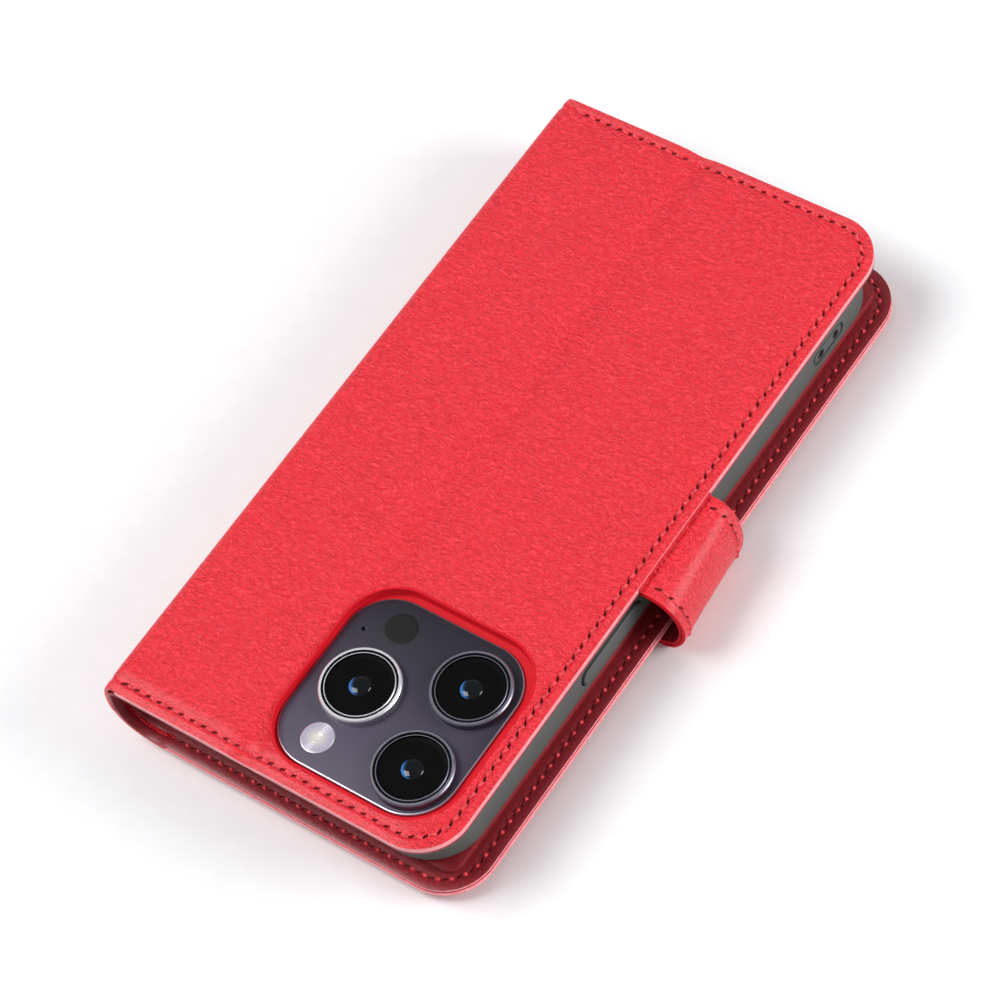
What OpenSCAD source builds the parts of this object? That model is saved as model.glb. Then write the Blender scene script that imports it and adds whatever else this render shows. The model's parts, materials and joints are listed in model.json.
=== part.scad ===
// Book-style phone wallet case: a leather folio round a moulded phone shell, closed by a snap strap.
// Sizes below are set out from the spine edge (x), the camera end (y) and the table (z).

/* [Folio] */
// Width of the back cover, spine edge to clasp edge
cover_w = 76.5; // [74:0.5:84]
// Length of both covers
cover_l = 155; // [150:1:175]
// Extra width of the front cover past the back cover's clasp edge
front_overhang = 2.7; // [1:0.1:4]
// Radius of the covers' clasp-side corners
corner_r = 10; // [6:0.5:14]
// Radius of the covers' spine-side corners
spine_corner_r = 2; // [1:0.5:4]
// Thickness of the outer leather
leather_t = 0.8; // [0.6:0.1:1.2]
// Thickness of the fibre stiffener boards
board_t = 1; // [0.8:0.1:1.4]
// Thickness of the lining
lining_t = 0.7; // [0.5:0.1:1]
// Distance of the stand crease from the spine edge
crease_x = 33; // [31:0.5:34]
// Width of the soft strip between the two back boards
crease_w = 2.4; // [2:0.2:4]

/* [Camera window] */
// Width of the window across the case
window_w = 40.5; // [40:0.5:42]
// Length of the window along the case
window_l = 40.9; // [40:0.5:42]
// Window edge nearest the spine
window_x = 31.8; // [31.6:0.1:32]
// Window edge nearest the camera end
window_y = 4.2; // [4:0.1:6]
// Radius of the window's corners
window_r = 10.5; // [6:0.5:12]

/* [Shell and phone] */
// Width of the phone
phone_w = 71; // [70:0.1:71.5]
// Length of the phone
phone_l = 146.6; // [146:0.1:148]
// Thickness of the phone without its camera plateau
phone_t = 7.65; // [7.2:0.05:8]
// Wall of the moulded shell
shell_wall = 1.3; // [1.2:0.1:1.6]
// Back wall of the moulded shell
shell_back = 1.2; // [1:0.1:1.4]
// Lip of the shell in front of the screen
shell_lip = 0.85; // [0.6:0.05:1.2]

/* [Strap] */
// Width of the snap strap
strap_w = 24; // [20:0.5:30]
// Length of the strap's tab under the front cover
tab_l = 27; // [22:1:34]
// Thickness of the tab
tab_t = 1.9; // [1.6:0.1:2.4]

/* [Pockets and stitching] */
// Thickness of one pocket leaf
leaf_t = 0.35; // [0.3:0.05:0.4]
// Step from one card pocket's mouth to the next
pocket_step = 12; // [10:1:14]
// Distance of the stitch rows from the edge
stitch_inset = 2.3; // [2:0.1:3]
// Width of the thread
thread_w = 0.5; // [0.4:0.1:0.7]

/* [Hidden] */
clear = 0.15;
leaf_count = 4;
rim = 5;
panel_t = leather_t + board_t + lining_t;
front_z = tab_t + 0.2;
leaf_z = front_z + panel_t;
shell_z = leaf_z + leaf_count * leaf_t + clear;
phone_z = shell_z + shell_lip;
phone_back_z = phone_z + phone_t;
shell_top = phone_back_z + 0.05 + shell_back;
pad_t = 0.15;
back_z = shell_top + pad_t;
board_z = back_z + lining_t;
top_z = back_z + panel_t;
front_w = cover_w + front_overhang;

shell_x1 = cover_w - 1.2;
shell_w = phone_w + 2 * (shell_wall + 0.05);
shell_x0 = shell_x1 - shell_w;
shell_l = phone_l + 2 * (shell_wall + 0.05);
shell_y0 = (cover_l - shell_l) / 2;
shell_r = 11;
phone_x0 = shell_x0 + shell_wall + 0.05;
phone_y0 = shell_y0 + shell_wall + 0.05;
phone_x1 = phone_x0 + phone_w;
phone_y1 = phone_y0 + phone_l;
phone_r = 9.6;
key_z = phone_z + phone_t / 2;

// outer skin of the spine, seen from the camera end: a curve from the back hinge to the front hinge
hinge_back = [0.9, top_z - 0.1];
hinge_front = [9, front_z];
spine_curve = [hinge_back, [-1.7, back_z - 3.2], [-2.4, front_z + 0.2], hinge_front];
spine_t = leather_t + lining_t;
spine_margin = 1;

// outer skin of the strap, from its root on the back cover's edge to the fold of the tab
strap_t = leather_t + lining_t;
strap_root = [cover_w + 0.5, top_z - 0.85];
tab_fold = [cover_w + 4.3, 0];
strap_curve = [strap_root, [cover_w + 8.1, top_z - 0.2], [cover_w + 9.8, front_z + 4.5], tab_fold];
strap_y0 = (cover_l - strap_w) / 2;
strap_y1 = strap_y0 + strap_w;
tab_x1 = tab_fold[0] - 0.4;
tab_x0 = tab_x1 - tab_l;

// steps along each curve, and where on it the spine and the strap's thread begin and end
curve_steps = 18;
spine_ends = [0.01, 0.995];
thread_ends = [0.03, 0.96];
thread_lift = 0.2;

// furthest points of the spine and of the strap's thread, which set the middle of the case
bulge_x0 = min([for (i = [0:curve_steps]) spine_side(spine_ends, i)[0]]);
bulge_x1 = max([for (i = [0:curve_steps]) thread_side(thread_ends, i)[0]]);
centre_x = (bulge_x0 + bulge_x1) / 2;

plateau = [32.05, 5.3, 70.45, 43.6];
plateau_top = phone_back_z + 2.1;
lens_r = 7.9;
lens_at = [[42.9, 23.7], [61.4, 33.1], [61.4, 14.3]];
flash_at = [41.8, 11.4];
sensor_at = [42.1, 37.6];
lamp_r = 3.25;

// side keys: first and last y of each
power_key = [47, 66];
volume_up_key = [41, 52];
volume_down_key = [56, 67];
mute_switch = [29, 36];
key_h = 3.2;
press = 0.35;

hole_r = 1;
hole_y = [129.4, 134.6];

red = "#E8343F";
dark_red = "#8E1420";
wine = "#7A1019";
grey = "#4A4D4C";
near_black = "#17181B";
steel = "#B9BCC4";

// puts the frame's origin under the middle of the case
module set_out() {
    translate([-centre_x, -cover_l / 2, 0]) children();
}

function corner(c, r, a0) = [for (i = [0:6]) c + r * [cos(a0 + 15 * i), sin(a0 + 15 * i)]];

// rounded rectangle; rs is the radius on the spine side, rc on the clasp side
function outline(b, rs, rc) = concat(
    corner([b[2] - rc, b[3] - rc], rc, 0),
    corner([b[0] + rs, b[3] - rs], rs, 90),
    corner([b[0] + rs, b[1] + rs], rs, 180),
    corner([b[2] - rc, b[1] + rc], rc, 270)
);

function inset(b, d) = [b[0] + d, b[1] + d, b[2] - d, b[3] - d];

module plate(b, z0, z1, rs, rc) {
    translate([0, 0, z0]) linear_extrude(z1 - z0) polygon(outline(b, rs, rc));
}

function along(ends, i) = ends[0] + (ends[1] - ends[0]) * i / curve_steps;
function spine_side(ends, i) = bezier(spine_curve, along(ends, i));
function thread_side(ends, i) = beside(strap_curve, along(ends, i), thread_lift);

function bezier(p, t) = pow(1 - t, 3) * p[0] + 3 * pow(1 - t, 2) * t * p[1]
    + 3 * (1 - t) * t * t * p[2] + pow(t, 3) * p[3];
function heading(p, t) = let (d = bezier(p, t + 0.001) - bezier(p, t - 0.001)) d / norm(d);

// a point on the curve, moved to its left by side
function beside(p, t, side) = let (h = heading(p, t)) bezier(p, t) + side * [-h[1], h[0]];

// a strip between two distances from the curve, each with its own first and last place on it
module strip(p, from, to, from_ends, to_ends, y0, y1) {
    near = [for (i = [0:curve_steps]) beside(p, along(from_ends, i), from)];
    far = [for (i = [curve_steps:-1:0]) beside(p, along(to_ends, i), to)];
    translate([0, y1, 0]) rotate([90, 0, 0]) linear_extrude(y1 - y0) polygon(concat(near, far));
}

back_box = [hinge_back[0] + 0.15, 0, cover_w, cover_l];
front_box = [hinge_front[0] + 0.15, 0, front_w, cover_l];
window_box = [window_x, window_y, window_x + window_w, window_y + window_l];

module window_hole(z0, z1, grow) {
    plate(inset(window_box, -grow), z0, z1, window_r + grow, window_r + grow);
}

// a row of thread round the three sewn edges
module thread_row(b, d, w, z0, z1, rs, rc) {
    difference() {
        plate(inset(b, d - w / 2), z0, z1, rs, rc - d);
        plate(inset(b, d + w / 2), z0 - 1, z1 + 1, rs, rc - d - w / 2);
        translate([b[0] - 1, b[1] - 1, z0 - 1]) cube([rim + 1, b[3] - b[1] + 2, z1 - z0 + 2]);
    }
}

// the slanted spine edge of the back panel, which leaves room for the spine to fold
module spine_bevel() {
    translate([0, cover_l + 1, 0]) rotate([90, 0, 0]) linear_extrude(cover_l + 2)
        polygon([[hinge_back[0] - 1, top_z + 1], [hinge_back[0] + 0.15, top_z + 1],
                 [hinge_back[0] + 0.15, top_z - 0.1], [hinge_back[0] + 3.2, back_z - 0.1],
                 [hinge_back[0] - 1, back_z - 0.1]]);
}

board_clasp_box = [crease_x + crease_w / 2, window_y + window_l + 1, cover_w - rim, cover_l - rim];
board_spine_box = [rim, rim, crease_x - crease_w / 2, cover_l - rim];

module back_leather() {
    color(red) set_out() difference() {
        plate(back_box, board_z, top_z, spine_corner_r, corner_r);
        plate(board_clasp_box, board_z - 1, board_z + board_t, 1, corner_r - rim + 1);
        plate(board_spine_box, board_z - 1, board_z + board_t, 1, 1);
        window_hole(board_z - 1, top_z + 1, 0.3);
        thread_row(back_box, stitch_inset, 1.1, top_z - 0.25, top_z + 1, spine_corner_r, corner_r);
        translate([crease_x - 0.6, -1, top_z - 0.3]) cube([1.2, cover_l + 2, 1]);
        anchor_slot();
        spine_bevel();
    }
}

module anchor_slot() {
    translate([cover_w - rim, strap_y0 - 0.1, board_z - 1]) cube([rim + 1, strap_w + 0.2, 1 + board_t]);
}

module back_board_clasp_side() {
    color("tan") set_out()
        plate(inset(board_clasp_box, 0.1), board_z, board_z + board_t, 1, corner_r - rim + 1);
}

module back_board_spine_side() {
    color("tan") set_out() difference() {
        plate(inset(board_spine_box, 0.1), board_z, board_z + board_t, 1, 1);
        window_hole(board_z - 1, top_z, 0.8);
    }
}

module back_lining() {
    color(dark_red) set_out() difference() {
        plate(back_box, back_z, board_z, spine_corner_r, corner_r);
        window_hole(back_z - 1, top_z, 0.3);
        spine_bevel();
    }
}

module camera_window_trim() {
    color("#C81423") set_out() difference() {
        window_hole(shell_top - shell_back / 2, top_z - 0.1, 0.3);
        window_hole(back_z - 3, top_z + 1, 0);
    }
}

module back_stitching() {
    color("#D62B38") set_out()
        thread_row(back_box, stitch_inset, thread_w, top_z - 0.25, top_z, spine_corner_r, corner_r);
}

module strap_anchor() {
    color(red) set_out()
        translate([cover_w - rim, strap_y0, board_z])
            cube([rim + 0.3, strap_w, board_t - 0.05]);
}

shell_box = [shell_x0, shell_y0, shell_x1, shell_y0 + shell_l];
phone_box = [phone_x0, phone_y0, phone_x1, phone_y1];

// a slab with softened edges: full size in the middle, drawn in by ease at its two faces
module soft_slab(b, z0, z1, r, ease) {
    hull() {
        plate(inset(b, ease), z0, z1, r - ease, r - ease);
        plate(inset(b, ease * 0.3), z0 + ease * 0.35, z1 - ease * 0.35, r - ease * 0.3, r - ease * 0.3);
        plate(b, z0 + ease, z1 - ease, r, r);
    }
}

module side_window(x, span, h) {
    translate([x, span[0] - 0.2, key_z - h / 2 - 0.2]) cube([4, span[1] - span[0] + 0.4, h + 0.4]);
}

module phone_shell() {
    color(grey) set_out() difference() {
        soft_slab(shell_box, shell_z, shell_top, shell_r, 1.6);
        plate(inset(phone_box, -0.05), phone_z, phone_back_z + 0.05, phone_r, phone_r);
        plate(inset(phone_box, 1.2), shell_z - 1, phone_z + 1, phone_r - 1.2, phone_r - 1.2);
        window_hole(shell_top - 2 * shell_back, shell_top + 1, 0.35);
        side_window(phone_x1 - 1, power_key, key_h + 0.8);
        side_window(phone_x0 - 3, volume_up_key, key_h + 0.8);
        side_window(phone_x0 - 3, volume_down_key, key_h + 0.8);
        side_window(phone_x0 - 3, mute_switch, key_h + 0.8);
        port_cuts();
        for (y = hole_y) translate([phone_x1 - 1, y, key_z]) rotate([0, 90, 0])
            cylinder(h = 4, r = hole_r, $fn = 48);
        lanyard_channel();
    }
}

port_w = 13;
speaker_w = 14;
module port_cuts() {
    translate([(phone_x0 + phone_x1) / 2 - port_w / 2, phone_y1 - 1, key_z - 3]) cube([port_w, 4, 6]);
    for (x = [-20.5, 20.5]) translate([(phone_x0 + phone_x1) / 2 + x - speaker_w / 2, phone_y1 - 1, key_z - 1.3])
        cube([speaker_w, 4, 2.6]);
}

// shallow groove inside the wall that lets a cord pass from one hole to the other
module lanyard_channel() {
    translate([phone_x1 - 1, hole_y[0] - hole_r, key_z - hole_r])
        cube([1.35, hole_y[1] - hole_y[0] + 2 * hole_r, 2 * hole_r]);
}

module shell_adhesive_pad() {
    color("#C9C4BA") set_out() difference() {
        plate([crease_x + 3, shell_y0 + 4, shell_x1 - 3, shell_y0 + shell_l - 4], shell_top, back_z, 6, 6);
        window_hole(shell_top - 1, back_z + 1, 0.6);
    }
}

// moulded cover over a side key; side is 1 on the clasp edge and -1 on the spine edge
module button_cover(side, span) {
    reach = press + 0.05;
    inner = side > 0 ? phone_x1 + reach : phone_x0 - reach;
    outer = side > 0 ? shell_x1 + 0.5 : shell_x0 - 0.05;
    translate([min(inner, outer), span[0], key_z - key_h / 2 - 0.4])
        cube([abs(outer - inner), span[1] - span[0], key_h + 0.8]);
}

module power_button_cover() { color("#45484A") set_out() button_cover(1, power_key); }
module volume_up_cover() { color("#45484A") set_out() button_cover(-1, volume_up_key); }
module volume_down_cover() { color("#45484A") set_out() button_cover(-1, volume_down_key); }

// room for the glue between two curved plies
ply_gap = 0.06;

module spine_leather() {
    color(red) set_out()
        strip(spine_curve, 0, leather_t, spine_ends, [0.05, 0.995], spine_margin,
              cover_l - spine_margin);
}

module spine_lining() {
    color(dark_red) set_out()
        strip(spine_curve, leather_t + ply_gap, spine_t, [0.055, 0.99], [0.09, 0.99], spine_margin,
              cover_l - spine_margin);
}

front_board_box = [front_box[0] + rim, rim, front_w - rim, cover_l - rim];
magnet_at = [tab_x0 + 11, cover_l / 2];
magnet_r = 6;

module front_leather() {
    color(red) set_out() difference() {
        plate(front_box, front_z, front_z + leather_t + board_t, spine_corner_r, corner_r);
        plate(front_board_box, front_z + leather_t, leaf_z, 1, corner_r - rim + 1);
        thread_row(front_box, stitch_inset, 1.1, front_z - 1, front_z + 0.25, spine_corner_r, corner_r);
    }
}

module front_board() {
    color("tan") set_out() difference() {
        plate(inset(front_board_box, 0.1), front_z + leather_t, front_z + leather_t + board_t, 1,
              corner_r - rim + 1);
        translate([magnet_at[0], magnet_at[1], front_z]) cylinder(h = panel_t, r = magnet_r + 0.1, $fn = 48);
    }
}

module front_magnet() {
    color(steel) set_out()
        translate([magnet_at[0], magnet_at[1], front_z + leather_t])
            cylinder(h = board_t, r = magnet_r, $fn = 48);
}

module front_lining() {
    color(dark_red) set_out() difference() {
        plate(front_box, leaf_z - lining_t, leaf_z, spine_corner_r, corner_r);
        thread_row(front_box, stitch_inset, 1.1, leaf_z - 0.25, leaf_z + 1, spine_corner_r, corner_r);
    }
}

module front_stitching() {
    color("#D62B38") set_out() {
        thread_row(front_box, stitch_inset, thread_w, front_z, front_z + 0.25, spine_corner_r, corner_r);
        thread_row(front_box, stitch_inset, thread_w, leaf_z - 0.25, leaf_z, spine_corner_r, corner_r);
    }
}

leaf_x1 = front_w - 4.5;
leaf_y0 = 4.5;
thumb_r = 9;

// one pocket leaf, sewn down on three sides with its mouth towards the spine; 0 is the cash pocket
module leaf(i) {
    x0 = 14 + pocket_step * i;
    z0 = leaf_z + leaf_t * i;
    difference() {
        plate([x0, leaf_y0, leaf_x1, cover_l - leaf_y0], z0, z0 + leaf_t, 1, 6);
        if (i > 0) translate([x0 - 4, cover_l / 2, z0 - 1]) cylinder(h = 3, r = thumb_r, $fn = 48);
    }
}

module cash_pocket() { color(wine) set_out() leaf(0); }
module card_pocket_1() { color(wine) set_out() leaf(1); }
module card_pocket_2() { color(wine) set_out() leaf(2); }
module card_pocket_3() { color(wine) set_out() leaf(3); }

// the row that closes the pockets' clasp side, sunk in the top leaf
module pocket_stitching() {
    color("#D62B38") set_out()
        translate([leaf_x1 + 0.1, leaf_y0 + 6, leaf_z]) cube([thread_w, cover_l - 2 * leaf_y0 - 12, 0.3]);
}

module strap_leather() {
    color(red) set_out()
        strip(strap_curve, 0, -leather_t, [0.005, 0.995], [0.02, 0.95], strap_y0, strap_y1);
}

module strap_lining() {
    color(dark_red) set_out()
        strip(strap_curve, -leather_t - ply_gap, -strap_t, [0.025, 0.945], [0.04, 0.92], strap_y0, strap_y1);
}

module strap_stitching() {
    color("#D62B38") set_out() for (y = [strap_y0 + 2.5, strap_y1 - 2.5 - thread_w])
        strip(strap_curve, 0.02, thread_lift, thread_ends, thread_ends, y, y + thread_w);
}

tab_box = [tab_x0, strap_y0, tab_x1, strap_y1];
tab_magnet_t = 0.6;

module tab_leather() {
    color(red) set_out() difference() {
        plate(tab_box, 0, leather_t + tab_magnet_t / 2, 8, 0.5);
        tab_recess();
    }
}

module tab_recess() {
    translate([magnet_at[0], magnet_at[1], leather_t - 0.1])
        cylinder(h = tab_magnet_t + 0.2, r = magnet_r + 0.1, $fn = 48);
}

module tab_lining() {
    color(dark_red) set_out() difference() {
        plate(tab_box, leather_t + tab_magnet_t / 2, tab_t, 8, 0.5);
        tab_recess();
    }
}

module tab_magnet() {
    color(steel) set_out()
        translate([magnet_at[0], magnet_at[1], leather_t]) cylinder(h = tab_magnet_t, r = magnet_r, $fn = 48);
}

// the row round the tab's edge, on the lining side
module tab_stitching() {
    color("#D62B38") set_out() difference() {
        plate(inset(tab_box, 2.25), tab_t, tab_t + 0.1, 6, 0.5);
        plate(inset(tab_box, 2.25 + thread_w), tab_t - 1, tab_t + 1, 5.5, 0.3);
        translate([tab_x1 - 4, strap_y0, tab_t - 1]) cube([4, strap_w, 2]);
    }
}

module key_slot(x, span) {
    translate([x, span[0] + 0.9, key_z - key_h / 2 - 0.1]) cube([2, span[1] - span[0] - 1.8, key_h + 0.2]);
}

module phone_frame() {
    color("#55505E") set_out() difference() {
        soft_slab(phone_box, phone_z, phone_back_z, phone_r, 1.2);
        plate(inset(phone_box, 1.4), phone_z - 1, phone_z + 0.6, phone_r - 1.4, phone_r - 1.4);
        plate(inset(phone_box, 1.4), phone_back_z - 0.6, phone_back_z + 1, phone_r - 1.4, phone_r - 1.4);
        key_slot(phone_x1 - 1.4, power_key);
        key_slot(phone_x0 - 0.6, volume_up_key);
        key_slot(phone_x0 - 0.6, volume_down_key);
        translate([(phone_x0 + phone_x1) / 2 - 4.5, phone_y1 - 6, key_z - 1.5]) cube([9, 8, 3]);
    }
}

module phone_screen() {
    color(near_black) set_out()
        plate(inset(phone_box, 1.45), phone_z, phone_z + 0.55, phone_r - 1.45, phone_r - 1.45);
}

module phone_back_glass() {
    color("#4B4557") set_out()
        plate(inset(phone_box, 1.45), phone_back_z - 0.55, phone_back_z, phone_r - 1.45, phone_r - 1.45);
}

module lamp_hole(at) {
    translate([at[0], at[1], plateau_top - 0.6]) cylinder(h = 2, r = lamp_r + 0.05, $fn = 48);
}

module camera_plateau() {
    color("#4F495C") set_out() difference() {
        hull() {
            plate(plateau, phone_back_z, plateau_top - 0.5, 9.5, 9.5);
            plate(inset(plateau, 0.5), phone_back_z, plateau_top, 9, 9);
        }
        for (c = lens_at) translate([c[0], c[1], plateau_top - 1])
            cylinder(h = 3, r = lens_r - 1.1, $fn = 64);
        lamp_hole(flash_at);
        lamp_hole(sensor_at);
        translate([35.9, 34.3, plateau_top - 0.6]) cylinder(h = 2, r = 0.5, $fn = 24);
    }
}

lens_top = top_z - clear;

module camera_ring(i) {
    color(i == 0 ? "silver" : "#6B6575") set_out() translate([lens_at[i][0], lens_at[i][1], plateau_top])
        difference() {
            cylinder(h = lens_top - plateau_top, r1 = lens_r, r2 = lens_r - 0.3, $fn = 64);
            translate([0, 0, -1]) cylinder(h = 4, r = lens_r - 1.2, $fn = 64);
        }
}

module camera_glass(i) {
    color(near_black) set_out() translate([lens_at[i][0], lens_at[i][1], plateau_top - 0.95])
        cylinder(h = lens_top - plateau_top + 0.75, r = lens_r - 1.25, $fn = 64);
}

module camera_ring_1() { camera_ring(0); }
module camera_ring_2() { camera_ring(1); }
module camera_ring_3() { camera_ring(2); }
module camera_glass_1() { camera_glass(0); }
module camera_glass_2() { camera_glass(1); }
module camera_glass_3() { camera_glass(2); }

module lamp(at) {
    translate([at[0], at[1], plateau_top - 0.55]) cylinder(h = 0.6, r = lamp_r, $fn = 48);
}

module flash_lens() { color("#F1EBDD") set_out() lamp(flash_at); }
module depth_sensor_window() { color(near_black) set_out() lamp(sensor_at); }

// side key of the phone: it stands out of the frame by the press travel and reaches the moulded cover
module side_key(side, span) {
    outer = side > 0 ? phone_x1 + press : phone_x0 - press;
    depth = 1.1;
    translate([side > 0 ? outer - depth : outer, span[0] + 1, key_z - key_h / 2])
        cube([depth, span[1] - span[0] - 2, key_h]);
}

module power_key() { color("#5C5666") set_out() side_key(1, power_key); }
module volume_up_key() { color("#5C5666") set_out() side_key(-1, volume_up_key); }
module volume_down_key() { color("#5C5666") set_out() side_key(-1, volume_down_key); }

back_leather();
back_board_clasp_side();
back_board_spine_side();
back_lining();
camera_window_trim();
back_stitching();
strap_anchor();
phone_shell();
shell_adhesive_pad();
power_button_cover();
volume_up_cover();
volume_down_cover();
spine_leather();
spine_lining();
front_leather();
front_board();
front_lining();
front_stitching();
front_magnet();
cash_pocket();
card_pocket_1();
card_pocket_2();
card_pocket_3();
pocket_stitching();
strap_leather();
strap_lining();
strap_stitching();
tab_leather();
tab_lining();
tab_magnet();
tab_stitching();
phone_frame();
phone_screen();
phone_back_glass();
camera_plateau();
camera_ring_1();
camera_ring_2();
camera_ring_3();
camera_glass_1();
camera_glass_2();
camera_glass_3();
flash_lens();
depth_sensor_window();
power_key();
volume_up_key();
volume_down_key();
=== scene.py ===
import json
import math
from collections import Counter

import bpy
from mathutils import Matrix, Quaternion, Vector
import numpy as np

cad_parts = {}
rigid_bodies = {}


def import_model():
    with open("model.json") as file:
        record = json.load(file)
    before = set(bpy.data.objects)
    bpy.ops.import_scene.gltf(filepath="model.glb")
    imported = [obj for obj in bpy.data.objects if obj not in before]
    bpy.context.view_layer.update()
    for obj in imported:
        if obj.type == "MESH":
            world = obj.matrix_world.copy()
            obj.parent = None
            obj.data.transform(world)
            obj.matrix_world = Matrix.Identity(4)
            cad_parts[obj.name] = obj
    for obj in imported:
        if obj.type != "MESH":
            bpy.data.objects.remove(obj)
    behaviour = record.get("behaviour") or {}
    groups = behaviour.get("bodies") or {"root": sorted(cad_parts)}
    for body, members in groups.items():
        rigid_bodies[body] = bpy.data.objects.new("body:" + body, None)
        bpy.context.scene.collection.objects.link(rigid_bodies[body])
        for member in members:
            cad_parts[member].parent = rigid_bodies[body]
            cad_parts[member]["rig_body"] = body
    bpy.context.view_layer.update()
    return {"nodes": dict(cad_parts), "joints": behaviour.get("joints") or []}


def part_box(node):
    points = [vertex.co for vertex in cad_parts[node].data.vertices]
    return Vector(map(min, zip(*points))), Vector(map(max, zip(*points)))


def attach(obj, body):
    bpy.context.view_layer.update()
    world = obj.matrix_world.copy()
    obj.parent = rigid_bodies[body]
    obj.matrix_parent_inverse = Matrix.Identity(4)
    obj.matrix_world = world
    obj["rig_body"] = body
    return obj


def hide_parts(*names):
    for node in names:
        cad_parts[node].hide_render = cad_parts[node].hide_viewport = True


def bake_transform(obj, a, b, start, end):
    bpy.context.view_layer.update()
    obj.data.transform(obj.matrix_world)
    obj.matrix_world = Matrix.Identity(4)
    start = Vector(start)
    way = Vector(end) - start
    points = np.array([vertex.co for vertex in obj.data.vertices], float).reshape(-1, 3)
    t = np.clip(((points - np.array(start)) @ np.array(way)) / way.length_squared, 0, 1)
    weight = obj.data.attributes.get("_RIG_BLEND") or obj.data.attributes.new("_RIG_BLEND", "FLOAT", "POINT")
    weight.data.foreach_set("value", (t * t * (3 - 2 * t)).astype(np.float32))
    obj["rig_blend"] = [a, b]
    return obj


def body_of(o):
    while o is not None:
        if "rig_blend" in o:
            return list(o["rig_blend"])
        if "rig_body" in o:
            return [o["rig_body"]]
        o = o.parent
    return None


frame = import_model()
MM = 0.001

# ---------------------------------------------------------------- camera, floor and light
# A long lens above the clasp side and the camera end, turned so that the case lies across the picture.
# The case lies on a pale sweep under one large soft light, with a weaker one to lift the clasp side.
CAMERA_AZIMUTH = 48.57
CAMERA_ELEVATION = 55.65
CAMERA_ROLL = 16.9
CAMERA_DISTANCE = 705.6 * MM
CAMERA_AIM = Vector((-2.9, -4.7, 10)) * MM
CAMERA_LENS_MM = 134.4
SENSOR_WIDTH_MM = 36
FLOOR_SIZE = 4.0
FLOOR_DROP = 0.05 * MM


def linear(hex_colour):
    """An sRGB hex colour as the linear colour that a socket takes."""
    channels = [int(hex_colour[i:i + 2], 16) / 255 for i in (1, 3, 5)]
    return [c / 12.92 if c <= 0.04045 else ((c + 0.055) / 1.055) ** 2.4 for c in channels] + [1]


def add(tree, kind, sockets=None, **settings):
    """One shader node with its settings, its sockets set or linked. Gives its outputs."""
    made = tree.nodes.new("ShaderNode" + kind)
    for name, value in settings.items():
        setattr(made, name, value)
    for name, value in (sockets or {}).items():
        if isinstance(value, bpy.types.NodeSocket):
            tree.links.new(value, made.inputs[name])
        else:
            made.inputs[name].default_value = value
    return made.outputs


def material(name):
    """A new material with an empty node tree."""
    made = bpy.data.materials.new(name)
    made.use_nodes = True
    made.node_tree.nodes.clear()
    return made, made.node_tree


def surface(tree, sockets):
    """The one shader of a material, and its way out."""
    add(tree, "OutputMaterial", {"Surface": add(tree, "BsdfPrincipled", sockets)["BSDF"]})


def direction_from(azimuth, elevation):
    """The direction from the case to something at that azimuth and elevation, in degrees."""
    a, e = math.radians(azimuth), math.radians(elevation)
    return Vector((math.sin(a) * math.cos(e), -math.cos(a) * math.cos(e), math.sin(e)))


def soft_light(name, azimuth, elevation, distance, size, power):
    """A square light that faces the case."""
    away = direction_from(azimuth, elevation)
    bpy.ops.object.light_add(type="AREA", location=away * distance)
    lamp = bpy.context.object
    lamp.name = name
    lamp.data.size = size
    lamp.data.energy = power
    lamp.rotation_mode = "QUATERNION"
    lamp.rotation_quaternion = (-away).to_track_quat("-Z", "Y")


bpy.ops.object.select_all(action="DESELECT")
back = direction_from(CAMERA_AZIMUTH, CAMERA_ELEVATION)
bpy.ops.object.camera_add(location=CAMERA_AIM + back * CAMERA_DISTANCE)
camera = bpy.context.object
camera.data.lens = CAMERA_LENS_MM
camera.data.sensor_width = SENSOR_WIDTH_MM
camera.rotation_mode = "QUATERNION"
roll = Quaternion((0, 0, 1), -math.radians(CAMERA_ROLL))
camera.rotation_quaternion = (-back).to_track_quat("-Z", "Y") @ roll
bpy.context.scene.camera = camera

soft_light("key_light", -60, 55, 1.1, 0.6, 10.0)
soft_light("edge_light", 113, 24, 0.9, 0.45, 6.5)
world = bpy.data.worlds.new("studio")
world.use_nodes = True
world.node_tree.nodes["Background"].inputs["Color"].default_value = linear("#F4F5F8")
world.node_tree.nodes["Background"].inputs["Strength"].default_value = 0.42
bpy.context.scene.world = world
bpy.context.scene.view_settings.view_transform = "Standard"

bpy.ops.mesh.primitive_plane_add(size=FLOOR_SIZE, location=(0, 0, -FLOOR_DROP))
floor = bpy.context.object
floor.name = "floor"
floor_finish, tree = material("matte_paper_sweep")
speckle = add(tree, "TexNoise", {"Scale": 900.0, "Detail": 2.0})["Fac"]
paper = add(tree, "Mix", {0: speckle, 6: linear("#E9E9EA"), 7: linear("#EFEFF0")}, data_type="RGBA")[2]
surface(tree, {"Base Color": paper, "Roughness": 0.85})
floor.data.materials.append(floor_finish)

# ---------------------------------------------------------------- back cover: outer leather
# One piece of grained PU leather lies over the back boards, is pressed down along its sewn edges, and runs
# on round the spine. It is glued to the boards, has a window for the lenses and a soft valley at the crease.
back_lo, back_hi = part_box("back_leather")
hinges = {joint["name"]: Vector(joint["pos_m"]) for joint in frame["joints"] if joint["type"] == "hinge"}
BACK_HINGE = hinges["spine_fold"]
FRONT_HINGE = hinges["cover_fold"]
SPINE_PULL_BACK = Vector((-2.6, 0, -5.6)) * MM
SPINE_PULL_FRONT = Vector((-11.4, 0, 0.2)) * MM
SPINE_CURVE = [BACK_HINGE, BACK_HINGE + SPINE_PULL_BACK, FRONT_HINGE + SPINE_PULL_FRONT, FRONT_HINGE]
LEATHER = 0.8 * MM
LINING = 0.64 * MM
CORNER = 10 * MM
STITCH_INSET = 2.3 * MM
STITCH_PITCH = 2.6 * MM
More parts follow.
